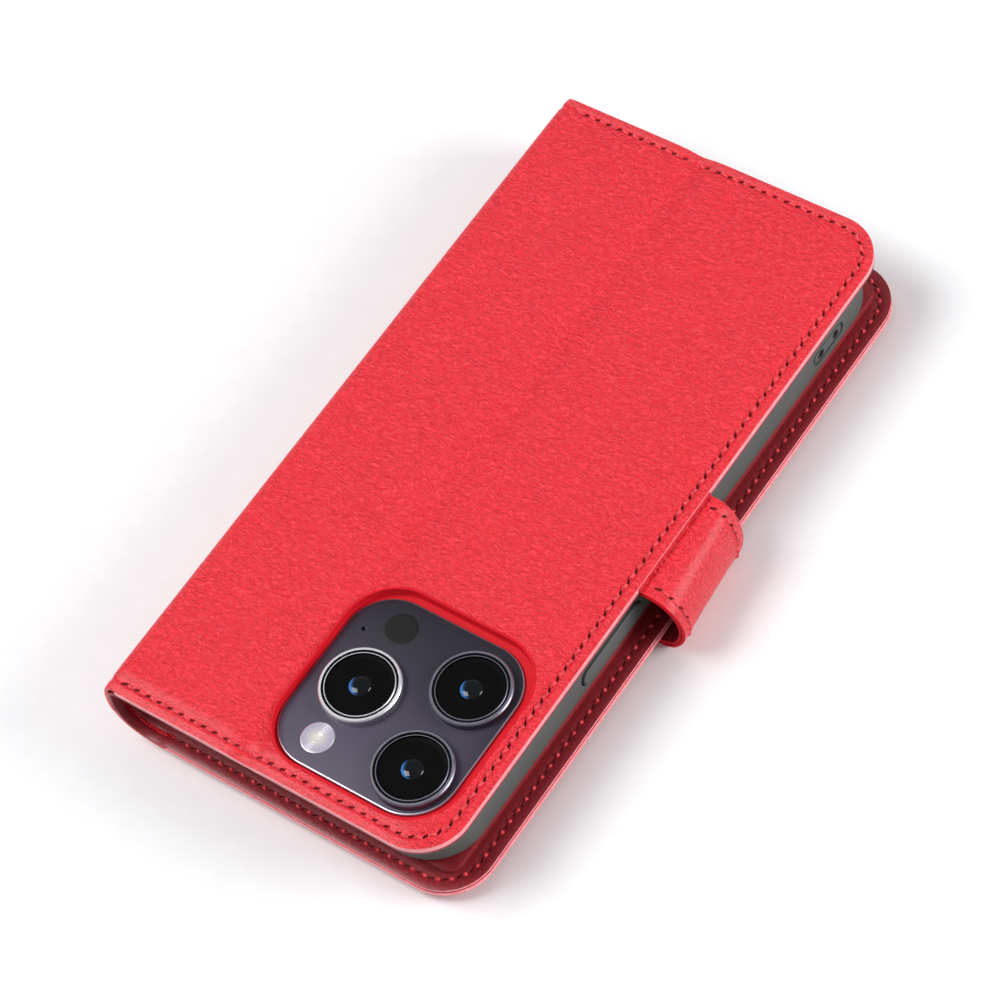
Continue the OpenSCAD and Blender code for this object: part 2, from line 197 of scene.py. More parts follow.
CREASE_X = back_lo.x + 31.95 * MM
PRESSED_EDGE = [(1.4, 0.32), (0.45, -0.22), (0.8, 0), (0.45, 0.26), (2.4, 0.12)]
CREASE_DEPTH = 0.62 * MM
CREASE_REACH = 4.5 * MM
CREASE_LINES = (-3, -1.6, -0.8, 0, 0.8, 1.6, 3)
GRAIN_TURN = math.radians(-14)
WANDER_SIZE = 1.1 * MM
WANDER_REACH = 1.0 * MM
WRINKLE_SIZE = 0.34 * MM
CLOUD_SIZE = 9 * MM


def grained_leather(name, top, valley, pebble_mm, relief_mm, roughness, run=(0.5, 1, 1)):
    """Embossed PU leather: pebbles drawn out into wrinkles, fine pores, and a satin top coat, its colour painted
    lighter on the grain's tops as painted highlight and darker in its valleys as painted shade.
    """
    made, tree = material(name)
    place = add(tree, "TexCoord")["Object"]
    drawn = add(tree, "Mapping", {"Vector": place, "Rotation": (0, 0, GRAIN_TURN), "Scale": run})["Vector"]
    wander = add(tree, "TexNoise", {"Vector": drawn, "Scale": 1 / WANDER_SIZE, "Detail": 4.0, "Roughness": 0.6})
    bent = add(tree, "VectorMath", {0: wander["Color"], 1: (WANDER_REACH,) * 3, 2: drawn},
               operation="MULTIPLY_ADD")[0]
    cell = add(tree, "TexVoronoi", {"Vector": bent, "Scale": 1 / (pebble_mm * MM), "Smoothness": 0.55},
               feature="SMOOTH_F1")["Distance"]
    pebble = add(tree, "MapRange", {"Value": cell, "From Min": 0.75, "From Max": 0.1},
                 interpolation_type="SMOOTHSTEP")[0]
    wrinkle = add(tree, "TexNoise", {"Vector": bent, "Scale": 1 / WRINKLE_SIZE, "Detail": 2.0,
                                     "Roughness": 0.6})["Fac"]
    broad = add(tree, "TexNoise", {"Vector": place, "Scale": 1 / CLOUD_SIZE, "Detail": 2.0})["Fac"]
    relief = add(tree, "Math", {0: wrinkle, 1: 1.3, 2: pebble}, operation="MULTIPLY_ADD")[0]
    normal = add(tree, "Bump", {"Height": relief, "Distance": relief_mm * MM, "Strength": 1.0})["Normal"]
    # painted highlight and painted shade: the colour is lighter on the grain's tops and darker in its valleys
    depth = add(tree, "MapRange", {"Value": relief, "From Min": 0.5, "From Max": 1.5})[0]
    tone = add(tree, "Mix", {0: depth, 6: linear(valley), 7: linear(top)}, data_type="RGBA")[2]
    worn = add(tree, "MapRange", {"Value": broad, "To Min": 0.96, "To Max": 1.05})[0]
    tone = add(tree, "HueSaturation", {"Color": tone, "Value": worn})["Color"]
    gloss = add(tree, "MapRange", {"Value": broad, "To Min": roughness - 0.05,
                                   "To Max": roughness + 0.07})[0]
    surface(tree, {"Base Color": tone, "Roughness": gloss, "Normal": normal, "IOR": 1.5,
                   "Coat Weight": 0.2, "Coat Roughness": 0.26})
    return made


# bright red top coat over a fine embossed grain: the relief catches the light through its bump, and the colour is
# painted lighter on the grain's tops (painted highlight) and darker in its valleys (painted shade)
red_leather = grained_leather("grained_pu_leather_red", "#FF3344", "#EA1626", 0.56, 0.46, 0.3)

# the cut edge, sealed with a paint that rounds it; its pale pink is partly the paint's own colour and partly a
# painted highlight of the light along the edge
edge_paint_and_highlight, tree = material("leather_edge_paint_and_painted_highlight")
edge_place = add(tree, "TexCoord")["Object"]
run_of_paint = add(tree, "TexNoise", {"Vector": edge_place, "Scale": 1 / (1.2 * MM)})["Fac"]
# pale pink edge colour: partly the paint's own colour, partly a painted highlight along the edge
paint = add(tree, "Mix", {0: run_of_paint, 6: linear("#E96C76"), 7: linear("#F8A6AC")}, data_type="RGBA")[2]
ripple = add(tree, "Bump", {"Height": run_of_paint, "Distance": 0.09 * MM, "Strength": 0.8})["Normal"]
surface(tree, {"Base Color": paint, "Roughness": 0.42, "Normal": ripple})

# the torn fibres in a needle hole: dull, and coloured darker than the coat, which is painted shade in the hole
needle_hole_painted_shade, tree = material("needle_hole_wall_painted_shade")
fibre = add(tree, "TexNoise", {"Vector": add(tree, "TexCoord")["Object"], "Scale": 1 / (0.2 * MM)})["Fac"]
dark = add(tree, "Mix", {0: fibre, 6: linear("#6A0912"), 7: linear("#981422")}, data_type="RGBA")[2]
surface(tree, {"Base Color": dark, "Roughness": 0.9})


def select_only(piece):
    bpy.ops.object.select_all(action="DESELECT")
    piece.select_set(True)
    bpy.context.view_layer.objects.active = piece


def placed(name, *finishes):
    """The object just added, named, with its place and turn moved into its mesh."""
    piece = bpy.context.object
    piece.name = name
    bpy.ops.object.transform_apply()
    for finish in finishes:
        piece.data.materials.append(finish)
    return piece


def pick(piece, kind, rule):
    """Edit mode with the vertices, edges or faces that meet the rule selected."""
    select_only(piece)
    bpy.ops.object.mode_set(mode="EDIT")
    bpy.ops.mesh.select_mode(type=kind)
    bpy.ops.mesh.select_all(action="DESELECT")
    bpy.ops.object.mode_set(mode="OBJECT")
    mesh = piece.data
    if kind == "VERT":
        for vertex in mesh.vertices:
            vertex.select = rule(vertex.co)
    elif kind == "FACE":
        for face in mesh.polygons:
            face.select = rule(face.center, face.normal)
    else:
        sides = Counter(key for face in mesh.polygons for key in face.edge_keys)
        for edge in mesh.edges:
            a, b = (mesh.vertices[i].co for i in edge.vertices)
            edge.select = rule((a + b) / 2, (b - a).normalized(), sides[edge.key] == 1)
    bpy.ops.object.mode_set(mode="EDIT")


def done():
    bpy.ops.object.mode_set(mode="OBJECT")


def everything(*_):
    return True


def finished(piece, kind, **settings):
    """A modifier with its settings, applied."""
    select_only(piece)
    modifier = piece.modifiers.new(kind.lower(), kind)
    for name, value in settings.items():
        setattr(modifier, name, value)
    bpy.ops.object.modifier_apply(modifier=modifier.name)


def cut(piece, cutter, operation="DIFFERENCE"):
    """The cutter's shape taken out of the piece; the cut faces keep the cutter's own finish."""
    finished(piece, "BOOLEAN", object=cutter, operation=operation, solver="EXACT", material_mode="TRANSFER")
    bpy.data.objects.remove(cutter)


def soften(piece, width_mm, segments, degrees=55):
    """The sharp edges rounded off."""
    finished(piece, "BEVEL", width=width_mm * MM, segments=segments, limit_method="ANGLE",
             angle_limit=math.radians(degrees))


def smooth(piece, degrees=35):
    select_only(piece)
    bpy.ops.object.shade_smooth_by_angle(angle=math.radians(degrees))


def slab(name, lo, hi, corner, edge, finish, corner_steps=10, edge_steps=3):
    """A block between two corners, rounded in plan by corner and at its rims by edge."""
    bpy.ops.object.select_all(action="DESELECT")
    bpy.ops.mesh.primitive_cube_add(size=1, location=(lo + hi) / 2)
    bpy.context.object.scale = hi - lo
    piece = placed(name, finish)
    pick(piece, "EDGE", lambda middle, along, open_edge: abs(along.z) > 0.9)
    bpy.ops.mesh.bevel(offset=corner, segments=corner_steps, affect="EDGES")
    done()
    if edge:
        pick(piece, "EDGE", lambda middle, along, open_edge: abs(along.z) < 0.1)
        bpy.ops.mesh.bevel(offset=edge, segments=edge_steps, affect="EDGES")
        done()
    return piece


def curve_point(curve, t, inward=0.0):
    """A point on a Bezier in the XZ plane, moved towards the inside of the bend."""
    def at(s):
        weights = ((1 - s) ** 3, 3 * (1 - s) ** 2 * s, 3 * (1 - s) * s * s, s ** 3)
        return sum((w * p for w, p in zip(weights, curve)), Vector((0, 0, 0)))
    heading = (at(t + 0.001) - at(t - 0.001)).normalized()
    return at(t) + inward * Vector((-heading.z, 0, heading.x))


def flat(points):
    """The points brought to the middle of the case, where a path is drawn."""
    return [Vector((point.x, 0, point.z)) for point in points]


def round_spine(samples, inward=0.0):
    return [curve_point(SPINE_CURVE, t, inward) for t in samples]


def cover_sheet(name, lo, hi, z, up, rings, path, wall, ply, finish, crease=None):
    """A leather sheet over a cover, pressed in rings along its sewn edges and led round the spine on path."""
    spare = 20 * MM
    rise = up * sum(step for inset, step in rings) * MM
    bpy.ops.object.select_all(action="DESELECT")
    middle = Vector(((lo.x - spare + hi.x) / 2, (lo.y + hi.y) / 2, z - rise))
    bpy.ops.mesh.primitive_plane_add(size=1, location=middle)
    bpy.context.object.scale = (hi.x - lo.x + spare, hi.y - lo.y, 1)
    sheet = placed(name, finish, edge_paint_and_highlight, needle_hole_painted_shade)
    pick(sheet, "VERT", lambda co: co.x > 0)
    bpy.ops.mesh.bevel(offset=CORNER, segments=14, affect="VERTICES")
    bpy.ops.mesh.select_mode(type="FACE")
    bpy.ops.mesh.select_all(action="SELECT")
    if up < 0:
        bpy.ops.mesh.flip_normals()
    for inset, step in rings:
        bpy.ops.mesh.inset(thickness=inset * MM, depth=step * MM)
    start = path[0].x
    lines = [(Vector((start + i * 4 * MM, 0, 0)), Vector((1, 0, 0))) for i in range(1, 18)]
    lines += [(Vector((0, lo.y + i * 5 * MM, 0)), Vector((0, 1, 0))) for i in range(1, 31)]
    if crease:
        lines += [(Vector((crease + d * MM, 0, 0)), Vector((1, 0, 0))) for d in CREASE_LINES]
    for place, across in lines:
        bpy.ops.mesh.select_all(action="SELECT")
        bpy.ops.mesh.bisect(plane_co=place, plane_no=across)
    bpy.ops.mesh.select_all(action="SELECT")
    bpy.ops.mesh.bisect(plane_co=(start, 0, 0), plane_no=(1, 0, 0), clear_inner=True)
    done()
    if crease:
        pick(sheet, "VERT", lambda co: abs(co.x - crease) < 0.1 * MM)
        bpy.ops.transform.translate(value=(0, 0, -CREASE_DEPTH), use_proportional_edit=True,
                                    proportional_edit_falloff="SMOOTH", proportional_size=CREASE_REACH)
        done()
    pick(sheet, "EDGE", lambda middle, along, open_edge: open_edge and middle.x > start + 0.01 * MM)
    if wall:
        bpy.ops.mesh.extrude_edges_move(TRANSFORM_OT_translate={"value": (0, 0, -up * wall)})
    done()
    pick(sheet, "EDGE", lambda middle, along, open_edge: abs(middle.x - start) < 0.01 * MM
         and abs(middle.z - z) < abs(rise) + 0.01 * MM and abs(along.z) < 0.9)
    for here, there in zip(path, path[1:]):
        bpy.ops.mesh.extrude_edges_move(TRANSFORM_OT_translate={"value": there - here})
    done()
    pick(sheet, "FACE", everything)
    bpy.ops.mesh.normals_make_consistent(inside=False)
    done()
    top = max(sheet.data.polygons, key=lambda face: face.area)
    if top.normal.z * up < 0:
        pick(sheet, "FACE", everything)
        bpy.ops.mesh.flip_normals()
        done()
    finished(sheet, "SOLIDIFY", thickness=ply, offset=-1, use_even_offset=True)
    return sheet


def end_at_mid_spine(sheet, keep_upper):
    """Cuts a sheet off square at the middle of the spine, where the next one meets it."""
    mid = curve_point(SPINE_CURVE, 0.5)
    down = (curve_point(SPINE_CURVE, 0.51) - mid).normalized()
    pick(sheet, "FACE", lambda centre, normal: (centre - mid).xz.length < 6 * MM)
    bpy.ops.mesh.bisect(plane_co=mid, plane_no=down, use_fill=True, clear_outer=keep_upper,
                        clear_inner=not keep_upper)
    done()


def paint_edges(sheet, start):
    """The cut faces round the panel take the edge paint, whose pale colour carries a painted highlight."""
    for face in sheet.data.polygons:
        if abs(face.normal.z) < 0.55 and face.center.x > start + 1 * MM:
            face.material_index = 1


def copies(model, places, name):
    """One object made of the model at every place; the model itself is used up."""
    made = []
    for place in places:
        twin = model.copy()
        twin.data = model.data.copy()
        twin.data.transform(place)
        bpy.context.collection.objects.link(twin)
        made.append(twin)
    bpy.data.objects.remove(model)
    bpy.ops.object.select_all(action="DESELECT")
    for twin in made:
        twin.select_set(True)
    bpy.context.view_layer.objects.active = made[0]
    bpy.ops.object.join()
    made[0].name = name
    return made[0]


def needle(size=1.0):
    """The slanted slit that a leather needle leaves."""
    bpy.ops.object.select_all(action="DESELECT")
    bpy.ops.mesh.primitive_cylinder_add(vertices=10, radius=1, depth=1)
    bpy.context.object.scale = (1.05 * MM * size, 0.3 * MM * size, 0.8 * MM)
    slit = placed("slit", needle_hole_painted_shade)
    slit.data.transform(Matrix.Rotation(math.radians(19), 4, "Z"))
    return slit


def stitch(finish, run=0.7):
    """One stitch of twisted thread that dives into the leather at both ends; run shortens it."""
    bpy.ops.object.select_all(action="DESELECT")
    bpy.ops.mesh.primitive_cylinder_add(vertices=8, radius=0.36 * MM, depth=2.5 * MM,
                                        rotation=(0, math.pi / 2, 0))
    thread = placed("stitch", finish)
    for x in (-0.85, -0.4, 0.4, 0.85):
        pick(thread, "FACE", everything)
        bpy.ops.mesh.bisect(plane_co=(x * MM, 0, 0), plane_no=(1, 0, 0))
        done()
    pick(thread, "VERT", lambda co: abs(co.x) > 1.1 * MM)
    bpy.ops.transform.resize(value=(1, 0.7, 0.7))
    bpy.ops.transform.translate(value=(0, 0, -0.5 * MM))
    done()
    pick(thread, "VERT", lambda co: 0.7 * MM < abs(co.x) < 1.1 * MM)
    bpy.ops.transform.translate(value=(0, 0, -0.12 * MM))
    done()
    thread.data.transform(Matrix.Diagonal((run, 1, 1, 1)))
    thread.data.transform(Matrix.Rotation(math.radians(-9), 4, "Z"))
    smooth(thread, 60)
    return thread


def sewn_row(lo, hi, first_x, z, up, half_step=False):
    """Places at equal steps along the stitch line of a cover, each with its heading and the face's normal."""
    radius = CORNER - STITCH_INSET
    x1, y0, y1 = hi.x - STITCH_INSET, lo.y + STITCH_INSET, hi.y - STITCH_INSET
    end_run, arc, side_run = x1 - radius - first_x, radius * math.pi / 2, y1 - y0 - 2 * radius
    total = 2 * end_run + 2 * arc + side_run
    count = round(total / STITCH_PITCH)
    places = []
    for i in range(count):
        s = (i + (0 if half_step else 0.5)) * total / count
        if s < end_run:
            x, y, turn = first_x + s, y0, 0
        elif s < end_run + arc:
            turn = (s - end_run) / radius
            x, y = x1 - radius + radius * math.sin(turn), y0 + radius - radius * math.cos(turn)
        elif s < end_run + arc + side_run:
            x, y, turn = x1, y0 + radius + s - end_run - arc, math.pi / 2
        elif s < end_run + 2 * arc + side_run:
            turn = math.pi / 2 + (s - end_run - arc - side_run) / radius
            x, y = x1 - radius + radius * math.sin(turn), y1 - radius - radius * math.cos(turn)
        else:
            x, y, turn = first_x + total - s, y1, math.pi
        flip = Matrix.Rotation(0 if up > 0 else math.pi, 4, "X")
        places.append(Matrix.Translation((x, y, z)) @ Matrix.Rotation(turn, 4, "Z") @ flip)
    return places


# each skin is led a little past the middle of the spine before it is cut off square there
PAST_MIDDLE = 0.56
back_start = BACK_HINGE + Vector((2.1, 0, back_hi.z * 1000 - BACK_HINGE.z * 1000)) * MM
back_path = [back_start]
back_path += [BACK_HINGE + Vector(step) * MM for step in ((1.0, 0, 0.05), (0.25, 0, -0.2), (-0.25, 0, -0.7))]
back_path = flat(back_path + round_spine((0.08, 0.14, 0.2, 0.27, 0.34, 0.42, PAST_MIDDLE)))
back_edge_drop = sum(step for inset, step in PRESSED_EDGE) * MM
back_skin = cover_sheet("back_cover_skin", back_lo, back_hi, back_hi.z, 1, PRESSED_EDGE, back_path,
                        back_hi.z - back_lo.z - back_edge_drop, LEATHER, red_leather, CREASE_X)
soften(back_skin, 0.28, 3)
end_at_mid_spine(back_skin, True)
paint_edges(back_skin, back_start.x)
trim_lo, trim_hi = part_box("camera_window_trim")
window_cutter = slab("window_cutter", Vector((trim_lo.x, trim_lo.y, back_lo.z - 2 * MM)),
                     Vector((trim_hi.x, trim_hi.y, back_hi.z + 2 * MM)), 10.8 * MM, 0, red_leather, 16)
cut(back_skin, window_cutter)
groove_z = back_hi.z - back_edge_drop + (PRESSED_EDGE[0][1] + PRESSED_EDGE[1][1]) * MM
row_start = back_start.x + 1.2 * MM
slits = copies(needle(), sewn_row(back_lo, back_hi, row_start, groove_z, 1, True), "slits")
cut(back_skin, slits)
smooth(back_skin)
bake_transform(back_skin, "back_cover", "spine", start=BACK_HINGE + Vector((2.5, 0, 0.1)) * MM,
         end=BACK_HINGE + Vector((-0.7, 0, -1.9)) * MM)
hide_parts("back_leather", "spine_leather")

# ---------------------------------------------------------------- back cover: thread
# Bonded polyester sewing thread in the leather's own red, one lockstitch row 2.3 mm inside the three sewn
# edges. Each stitch stands a little proud of the pressed groove and dives into its needle holes.
# twisted thread: fine slanted ridges and a soft sheen; its colour is painted darker in the grooves between the
# plies (painted shade) and lighter on their ridges (painted highlight)
thread_red, tree = material("bonded_polyester_thread_red")
along = add(tree, "TexCoord")["Object"]
twist = add(tree, "TexWave", {"Vector": along, "Scale": 1 / (0.5 * MM) / 6.283, "Distortion": 1.5},
            bands_direction="DIAGONAL")["Fac"]
ply_bump = add(tree, "Bump", {"Height": twist, "Distance": 0.06 * MM})["Normal"]
thread_twist_light_and_shade = add(tree, "Mix", {0: twist, 6: linear("#C41726"), 7: linear("#EA3845")}, data_type="RGBA")[2]
surface(tree, {"Base Color": thread_twist_light_and_shade, "Roughness": 0.5, "Normal": ply_bump, "Sheen Weight": 0.25})

back_thread = copies(stitch(thread_red), sewn_row(back_lo, back_hi, row_start, groove_z + 0.06 * MM, 1),
                     "back_cover_thread")
for vertex in back_thread.data.vertices:
    near = max(0, 1 - abs(vertex.co.x - CREASE_X) / CREASE_REACH)
    vertex.co.z -= CREASE_DEPTH * near * near * (3 - 2 * near)
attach(back_thread, "back_cover")
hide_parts("back_stitching")

# ---------------------------------------------------------------- camera window trim
# A strip of smooth red PU film lines the wall of the window, glued to the board and the shell below. Its foot
# turns in to a ledge that runs up to the camera plateau.
# smooth calendered film: an even, saturated red with a soft shine
trim_film, tree = material("smooth_pu_film_red")
film = add(tree, "TexNoise", {"Vector": add(tree, "TexCoord")["Object"], "Scale": 1 / (3 * MM)})["Fac"]
film_tone = add(tree, "Mix", {0: film, 6: linear("#C8081A"), 7: linear("#D40E22")}, data_type="RGBA")[2]
surface(tree, {"Base Color": film_tone, "Roughness": 0.65, "Specular IOR Level": 0.2})
TRIM_CORNER = 10.75 * MM
TRIM_WALL = 0.45 * MM
TRIM_INSET = Vector((0.05, 0.05, 0)) * MM
LEDGE_DROP = 0.42 * MM
LEDGE_GAP = 0.08 * MM
PLATEAU_CORNER = 9.5 * MM
plateau_lo, plateau_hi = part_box("camera_plateau")
ledge_z = plateau_hi.z - LEDGE_DROP
trim = slab("window_trim_strip", Vector((trim_lo.x, trim_lo.y, trim_lo.z)) + TRIM_INSET,
            Vector((trim_hi.x, trim_hi.y, back_hi.z - 0.02 * MM)) - TRIM_INSET, TRIM_CORNER, 0, trim_film, 16)
trim_core = slab("trim_core", Vector((trim_lo.x + TRIM_WALL, trim_lo.y + TRIM_WALL, ledge_z)),
                 Vector((trim_hi.x - TRIM_WALL, trim_hi.y - TRIM_WALL, back_hi.z + 2 * MM)),
                 TRIM_CORNER - TRIM_WALL, 0, trim_film, 16)
cut(trim, trim_core)
ledge_core = slab("ledge_core",
                  Vector((plateau_lo.x - LEDGE_GAP, plateau_lo.y - LEDGE_GAP, trim_lo.z - 1 * MM)),
                  Vector((plateau_hi.x + LEDGE_GAP, plateau_hi.y + LEDGE_GAP, ledge_z + 1 * MM)),
                  PLATEAU_CORNER + LEDGE_GAP, 0, trim_film, 16)
cut(trim, ledge_core)
soften(trim, 0.12, 2, 60)
smooth(trim)
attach(trim, "back_cover")
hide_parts("camera_window_trim")

# ---------------------------------------------------------------- back cover: lining
# Thin smooth PU lining in a deeper red, glued over the turned leather and the boards, and led on round the
# inside of the spine in one piece.
# smooth lining: faint pores and a low sheen, its colour painted a little lighter on the pores' tops (painted
# highlight) and darker in their hollows (painted shade)
lining_leather = grained_leather("smooth_pu_lining_deep_red", "#8E1420", "#7C0F1A", 0.8, 0.03, 0.5,
                                 (1, 1, 1))
lining_lo, lining_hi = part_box("back_lining")
LINING_INWARD = 1.5 * MM
back_lining_path = [Vector((BACK_HINGE.x + 4.0 * MM, 0, lining_lo.z)),
                    Vector((BACK_HINGE.x + 2.4 * MM, 0, lining_lo.z - 0.06 * MM)),
                    Vector((BACK_HINGE.x + 1.2 * MM, 0, lining_lo.z - 0.35 * MM))]
back_lining_path = flat(back_lining_path
                        + round_spine((0.16, 0.22, 0.28, 0.35, 0.42, PAST_MIDDLE), LINING_INWARD))
back_lining = cover_sheet("back_cover_lining", lining_lo, lining_hi, lining_lo.z, -1, [(3.0, 0.0)],
                          back_lining_path, 0, LINING, lining_leather)
soften(back_lining, 0.15, 2)
end_at_mid_spine(back_lining, True)
lining_cutter = slab("lining_cutter", Vector((trim_lo.x, trim_lo.y, lining_lo.z - 2 * MM)),
                     Vector((trim_hi.x, trim_hi.y, lining_hi.z + 2 * MM)), 10.8 * MM, 0, lining_leather, 16)
cut(back_lining, lining_cutter)
smooth(back_lining)
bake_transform(back_lining, "back_cover", "spine", start=BACK_HINGE + Vector((4.0, 0, -2.2)) * MM,
         end=BACK_HINGE + Vector((0.2, 0, -4.2)) * MM)
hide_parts("back_lining", "spine_lining")

# ---------------------------------------------------------------- front cover: outer leather, lining, thread
# The same construction as the back cover, face down: outer leather below, lining above, a fibre board and a
# steel disc between them. It is a little wider than the back cover, and both its faces show the stitch row.
front_lo, front_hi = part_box("front_leather")
front_lining_lo, front_lining_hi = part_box("front_lining")
EDGE_SEAM = 0.25 * MM
front_start = Vector((FRONT_HINGE.x + 1.6 * MM, 0, front_lo.z))
front_path = [front_start, Vector((FRONT_HINGE.x, 0, front_lo.z))]
front_path = flat(front_path + round_spine((0.94, 0.88, 0.82, 0.76, 0.7, 0.64, 0.58, 1 - PAST_MIDDLE)))
front_skin = cover_sheet("front_cover_skin", front_lo, front_hi, front_lo.z, -1, PRESSED_EDGE, front_path,
                         front_hi.z - front_lo.z - back_edge_drop - EDGE_SEAM, LEATHER, red_leather)
soften(front_skin, 0.28, 3)
end_at_mid_spine(front_skin, False)
paint_edges(front_skin, front_start.x)
front_groove_z = front_lo.z + back_edge_drop - (PRESSED_EDGE[0][1] + PRESSED_EDGE[1][1]) * MM
front_row_start = front_start.x + 3 * MM
slits = copies(needle(), sewn_row(front_lo, front_hi, front_row_start, front_groove_z, -1, True), "slits")
cut(front_skin, slits)
smooth(front_skin)
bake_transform(front_skin, "spine", "front_cover", start=FRONT_HINGE + Vector((-1.8, 0, 0.2)) * MM,
         end=FRONT_HINGE + Vector((1.8, 0, 0)) * MM)
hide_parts("front_leather")

front_lining_path = [Vector((FRONT_HINGE.x + 2.6 * MM, 0, front_lining_hi.z)),
                     Vector((FRONT_HINGE.x + 1.2 * MM, 0, front_lining_hi.z - 0.3 * MM)),
                     Vector((FRONT_HINGE.x - 0.1 * MM, 0, front_lining_hi.z - 0.85 * MM))]
front_lining_path = flat(front_lining_path + round_spine((0.92, 0.86, 0.8, 0.73, 0.66, 0.58, 1 - PAST_MIDDLE),
                                                         LINING_INWARD))
LINING_EDGE = [(1.6, 0.1), (0.4, -0.12), (0.7, 0), (0.4, 0.12)]
front_lining = cover_sheet("front_cover_lining", front_lining_lo, front_lining_hi, front_lining_hi.z, 1,
                           LINING_EDGE, front_lining_path, 0, LINING, lining_leather)
soften(front_lining, 0.15, 2)
end_at_mid_spine(front_lining, False)
paint_edges(front_lining, front_lining_path[0].x)
front_row = (front_lo, front_hi, front_row_start)
slits = copies(needle(0.6), sewn_row(*front_row, front_lining_hi.z - 0.12 * MM, 1, True), "slits")
cut(front_lining, slits)
smooth(front_lining)
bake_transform(front_lining, "spine", "front_cover", start=FRONT_HINGE + Vector((-1.8, 0, 1.5)) * MM,
         end=FRONT_HINGE + Vector((2.4, 0, 2.0)) * MM)
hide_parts("front_lining")

under_thread = copies(stitch(thread_red), sewn_row(*front_row, front_groove_z - 0.06 * MM, -1),
                      "front_cover_thread_outside")
inner_thread = copies(stitch(thread_red, 0.4), sewn_row(*front_row, front_lining_hi.z - 0.05 * MM, 1),
                      "front_cover_thread_inside")
for row in (under_thread, inner_thread):
    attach(row, "front_cover")
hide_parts("front_stitching")
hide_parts("front_stitching")

# ---------------------------------------------------------------- stiffener boards and strap anchor
# Grey fibre board, die-cut, glued between leather and lining: two pieces in the back cover, one in the front.
# The strap's root is a tongue of the same red leather, sewn in between them.
# pressed fibre board: grey, matt, with short fibres showing
fibre_board, tree = material("pressed_fibre_board")
board_place = add(tree, "TexCoord")["Object"]
strands = add(tree, "TexNoise", {"Vector": board_place, "Scale": 1 / (1.5 * MM), "Detail": 6.0})["Fac"]
board_tone = add(tree, "Mix", {0: strands, 6: linear("#8E8A80"), 7: linear("#B7B1A4")}, data_type="RGBA")[2]
board_bump = add(tree, "Bump", {"Height": strands, "Distance": 0.05 * MM})["Normal"]
surface(tree, {"Base Color": board_tone, "Roughness": 0.9, "Normal": board_bump})


def dress(finish, *nodes):
    """The CAD nodes keep their shape and take a finish."""
    for name in nodes:
        mesh = frame["nodes"][name].data
        mesh.materials.clear()
        mesh.materials.append(finish)


dress(fibre_board, "back_board_clasp_side", "back_board_spine_side", "front_board")
dress(red_leather, "strap_anchor")

# ---------------------------------------------------------------- magnets
# Two nickel-plated steel discs, one in the front cover and one in the tab, that hold the strap shut.
# nickel plating over stamped steel: fine circular brushing
nickel, tree = material("nickel_plated_steel")
brush = add(tree, "TexNoise", {"Vector": add(tree, "TexCoord")["Object"], "Scale": 1 / (0.4 * MM)})["Fac"]
plating = add(tree, "Mix", {0: brush, 6: linear("#A9ABAF"), 7: linear("#C6C8CC")}, data_type="RGBA")[2]
surface(tree, {"Base Color": plating, "Metallic": 1.0, "Roughness": 0.32})
dress(nickel, "front_magnet", "tab_magnet")

# ---------------------------------------------------------------- phone shell
# One moulding in soft dark grey TPU grips the phone. Its side wall has slots for the keys, a rounded-end groove
# round the cord holes, and openings for the plug and the speakers. A sheet of adhesive bonds it to the cover.
# blasted mould finish: matt, with a very fine even grain
tpu, tree = material("blasted_tpu_dark_grey")
shell_place = add(tree, "TexCoord")["Object"]
blast = add(tree, "TexNoise", {"Vector": shell_place, "Scale": 1 / (0.3 * MM), "Detail": 2.0})["Fac"]
cloud = add(tree, "TexNoise", {"Vector": shell_place, "Scale": 1 / (12 * MM)})["Fac"]
tpu_tone = add(tree, "Mix", {0: cloud, 6: linear("#464948"), 7: linear("#505351")}, data_type="RGBA")[2]
tpu_bump = add(tree, "Bump", {"Height": blast, "Distance": 0.02 * MM, "Strength": 0.6})["Normal"]
surface(tree, {"Base Color": tpu_tone, "Roughness": 0.58, "Normal": tpu_bump, "IOR": 1.5})

shell_lo, shell_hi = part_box("phone_shell")
phone_lo, phone_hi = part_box("phone_frame")
SHELL_CORNER = 11 * MM
PHONE_CORNER = 9.6 * MM
GROOVE_MM = 0.55
CORD_HOLES = [shell_lo.y + 126.55 * MM, shell_lo.y + 131.75 * MM]
CORD_HOLE_RADIUS = 1 * MM
MUTE_RUN = (26.15 * MM, 33.15 * MM)
PLAQUE_END = 2.7 * MM
PLAQUE_HALF = 1.75 * MM
# the plug's port in the middle and a speaker slot on each side: shift, half width and half height in mm
PORTS = ((0, 6.5, 3), (-20.5, 7, 1.3), (20.5, 7, 1.3))


def grown(lo, hi, x, y, z):
    """The two corners moved outwards by x, y and z millimetres."""
    step = Vector((x, y, z)) * MM
    return lo - step, hi + step


shell = slab("moulded_phone_shell", shell_lo, shell_hi, SHELL_CORNER, 1.6 * MM, tpu, 18, 5)
cavity_lo, cavity_hi = grown(phone_lo, phone_hi, 0.05, 0.05, 0.05)
cut(shell, slab("cavity", cavity_lo, cavity_hi, PHONE_CORNER, 0.8 * MM, tpu, 16, 3))
mouth_lo, mouth_hi = grown(phone_lo, phone_hi, -1.2, -1.2, 0)
mouth_lo.z, mouth_hi.z = shell_lo.z - 1 * MM, phone_lo.z + 1 * MM
cut(shell, slab("mouth", mouth_lo, mouth_hi, PHONE_CORNER - 1.2 * MM, 0, tpu, 16))
shell_window_lo, shell_window_hi = grown(trim_lo, trim_hi, 0.05, 0.05, 5)
cut(shell, slab("shell_window", shell_window_lo, shell_window_hi, 10.8 * MM, 0, tpu, 16))


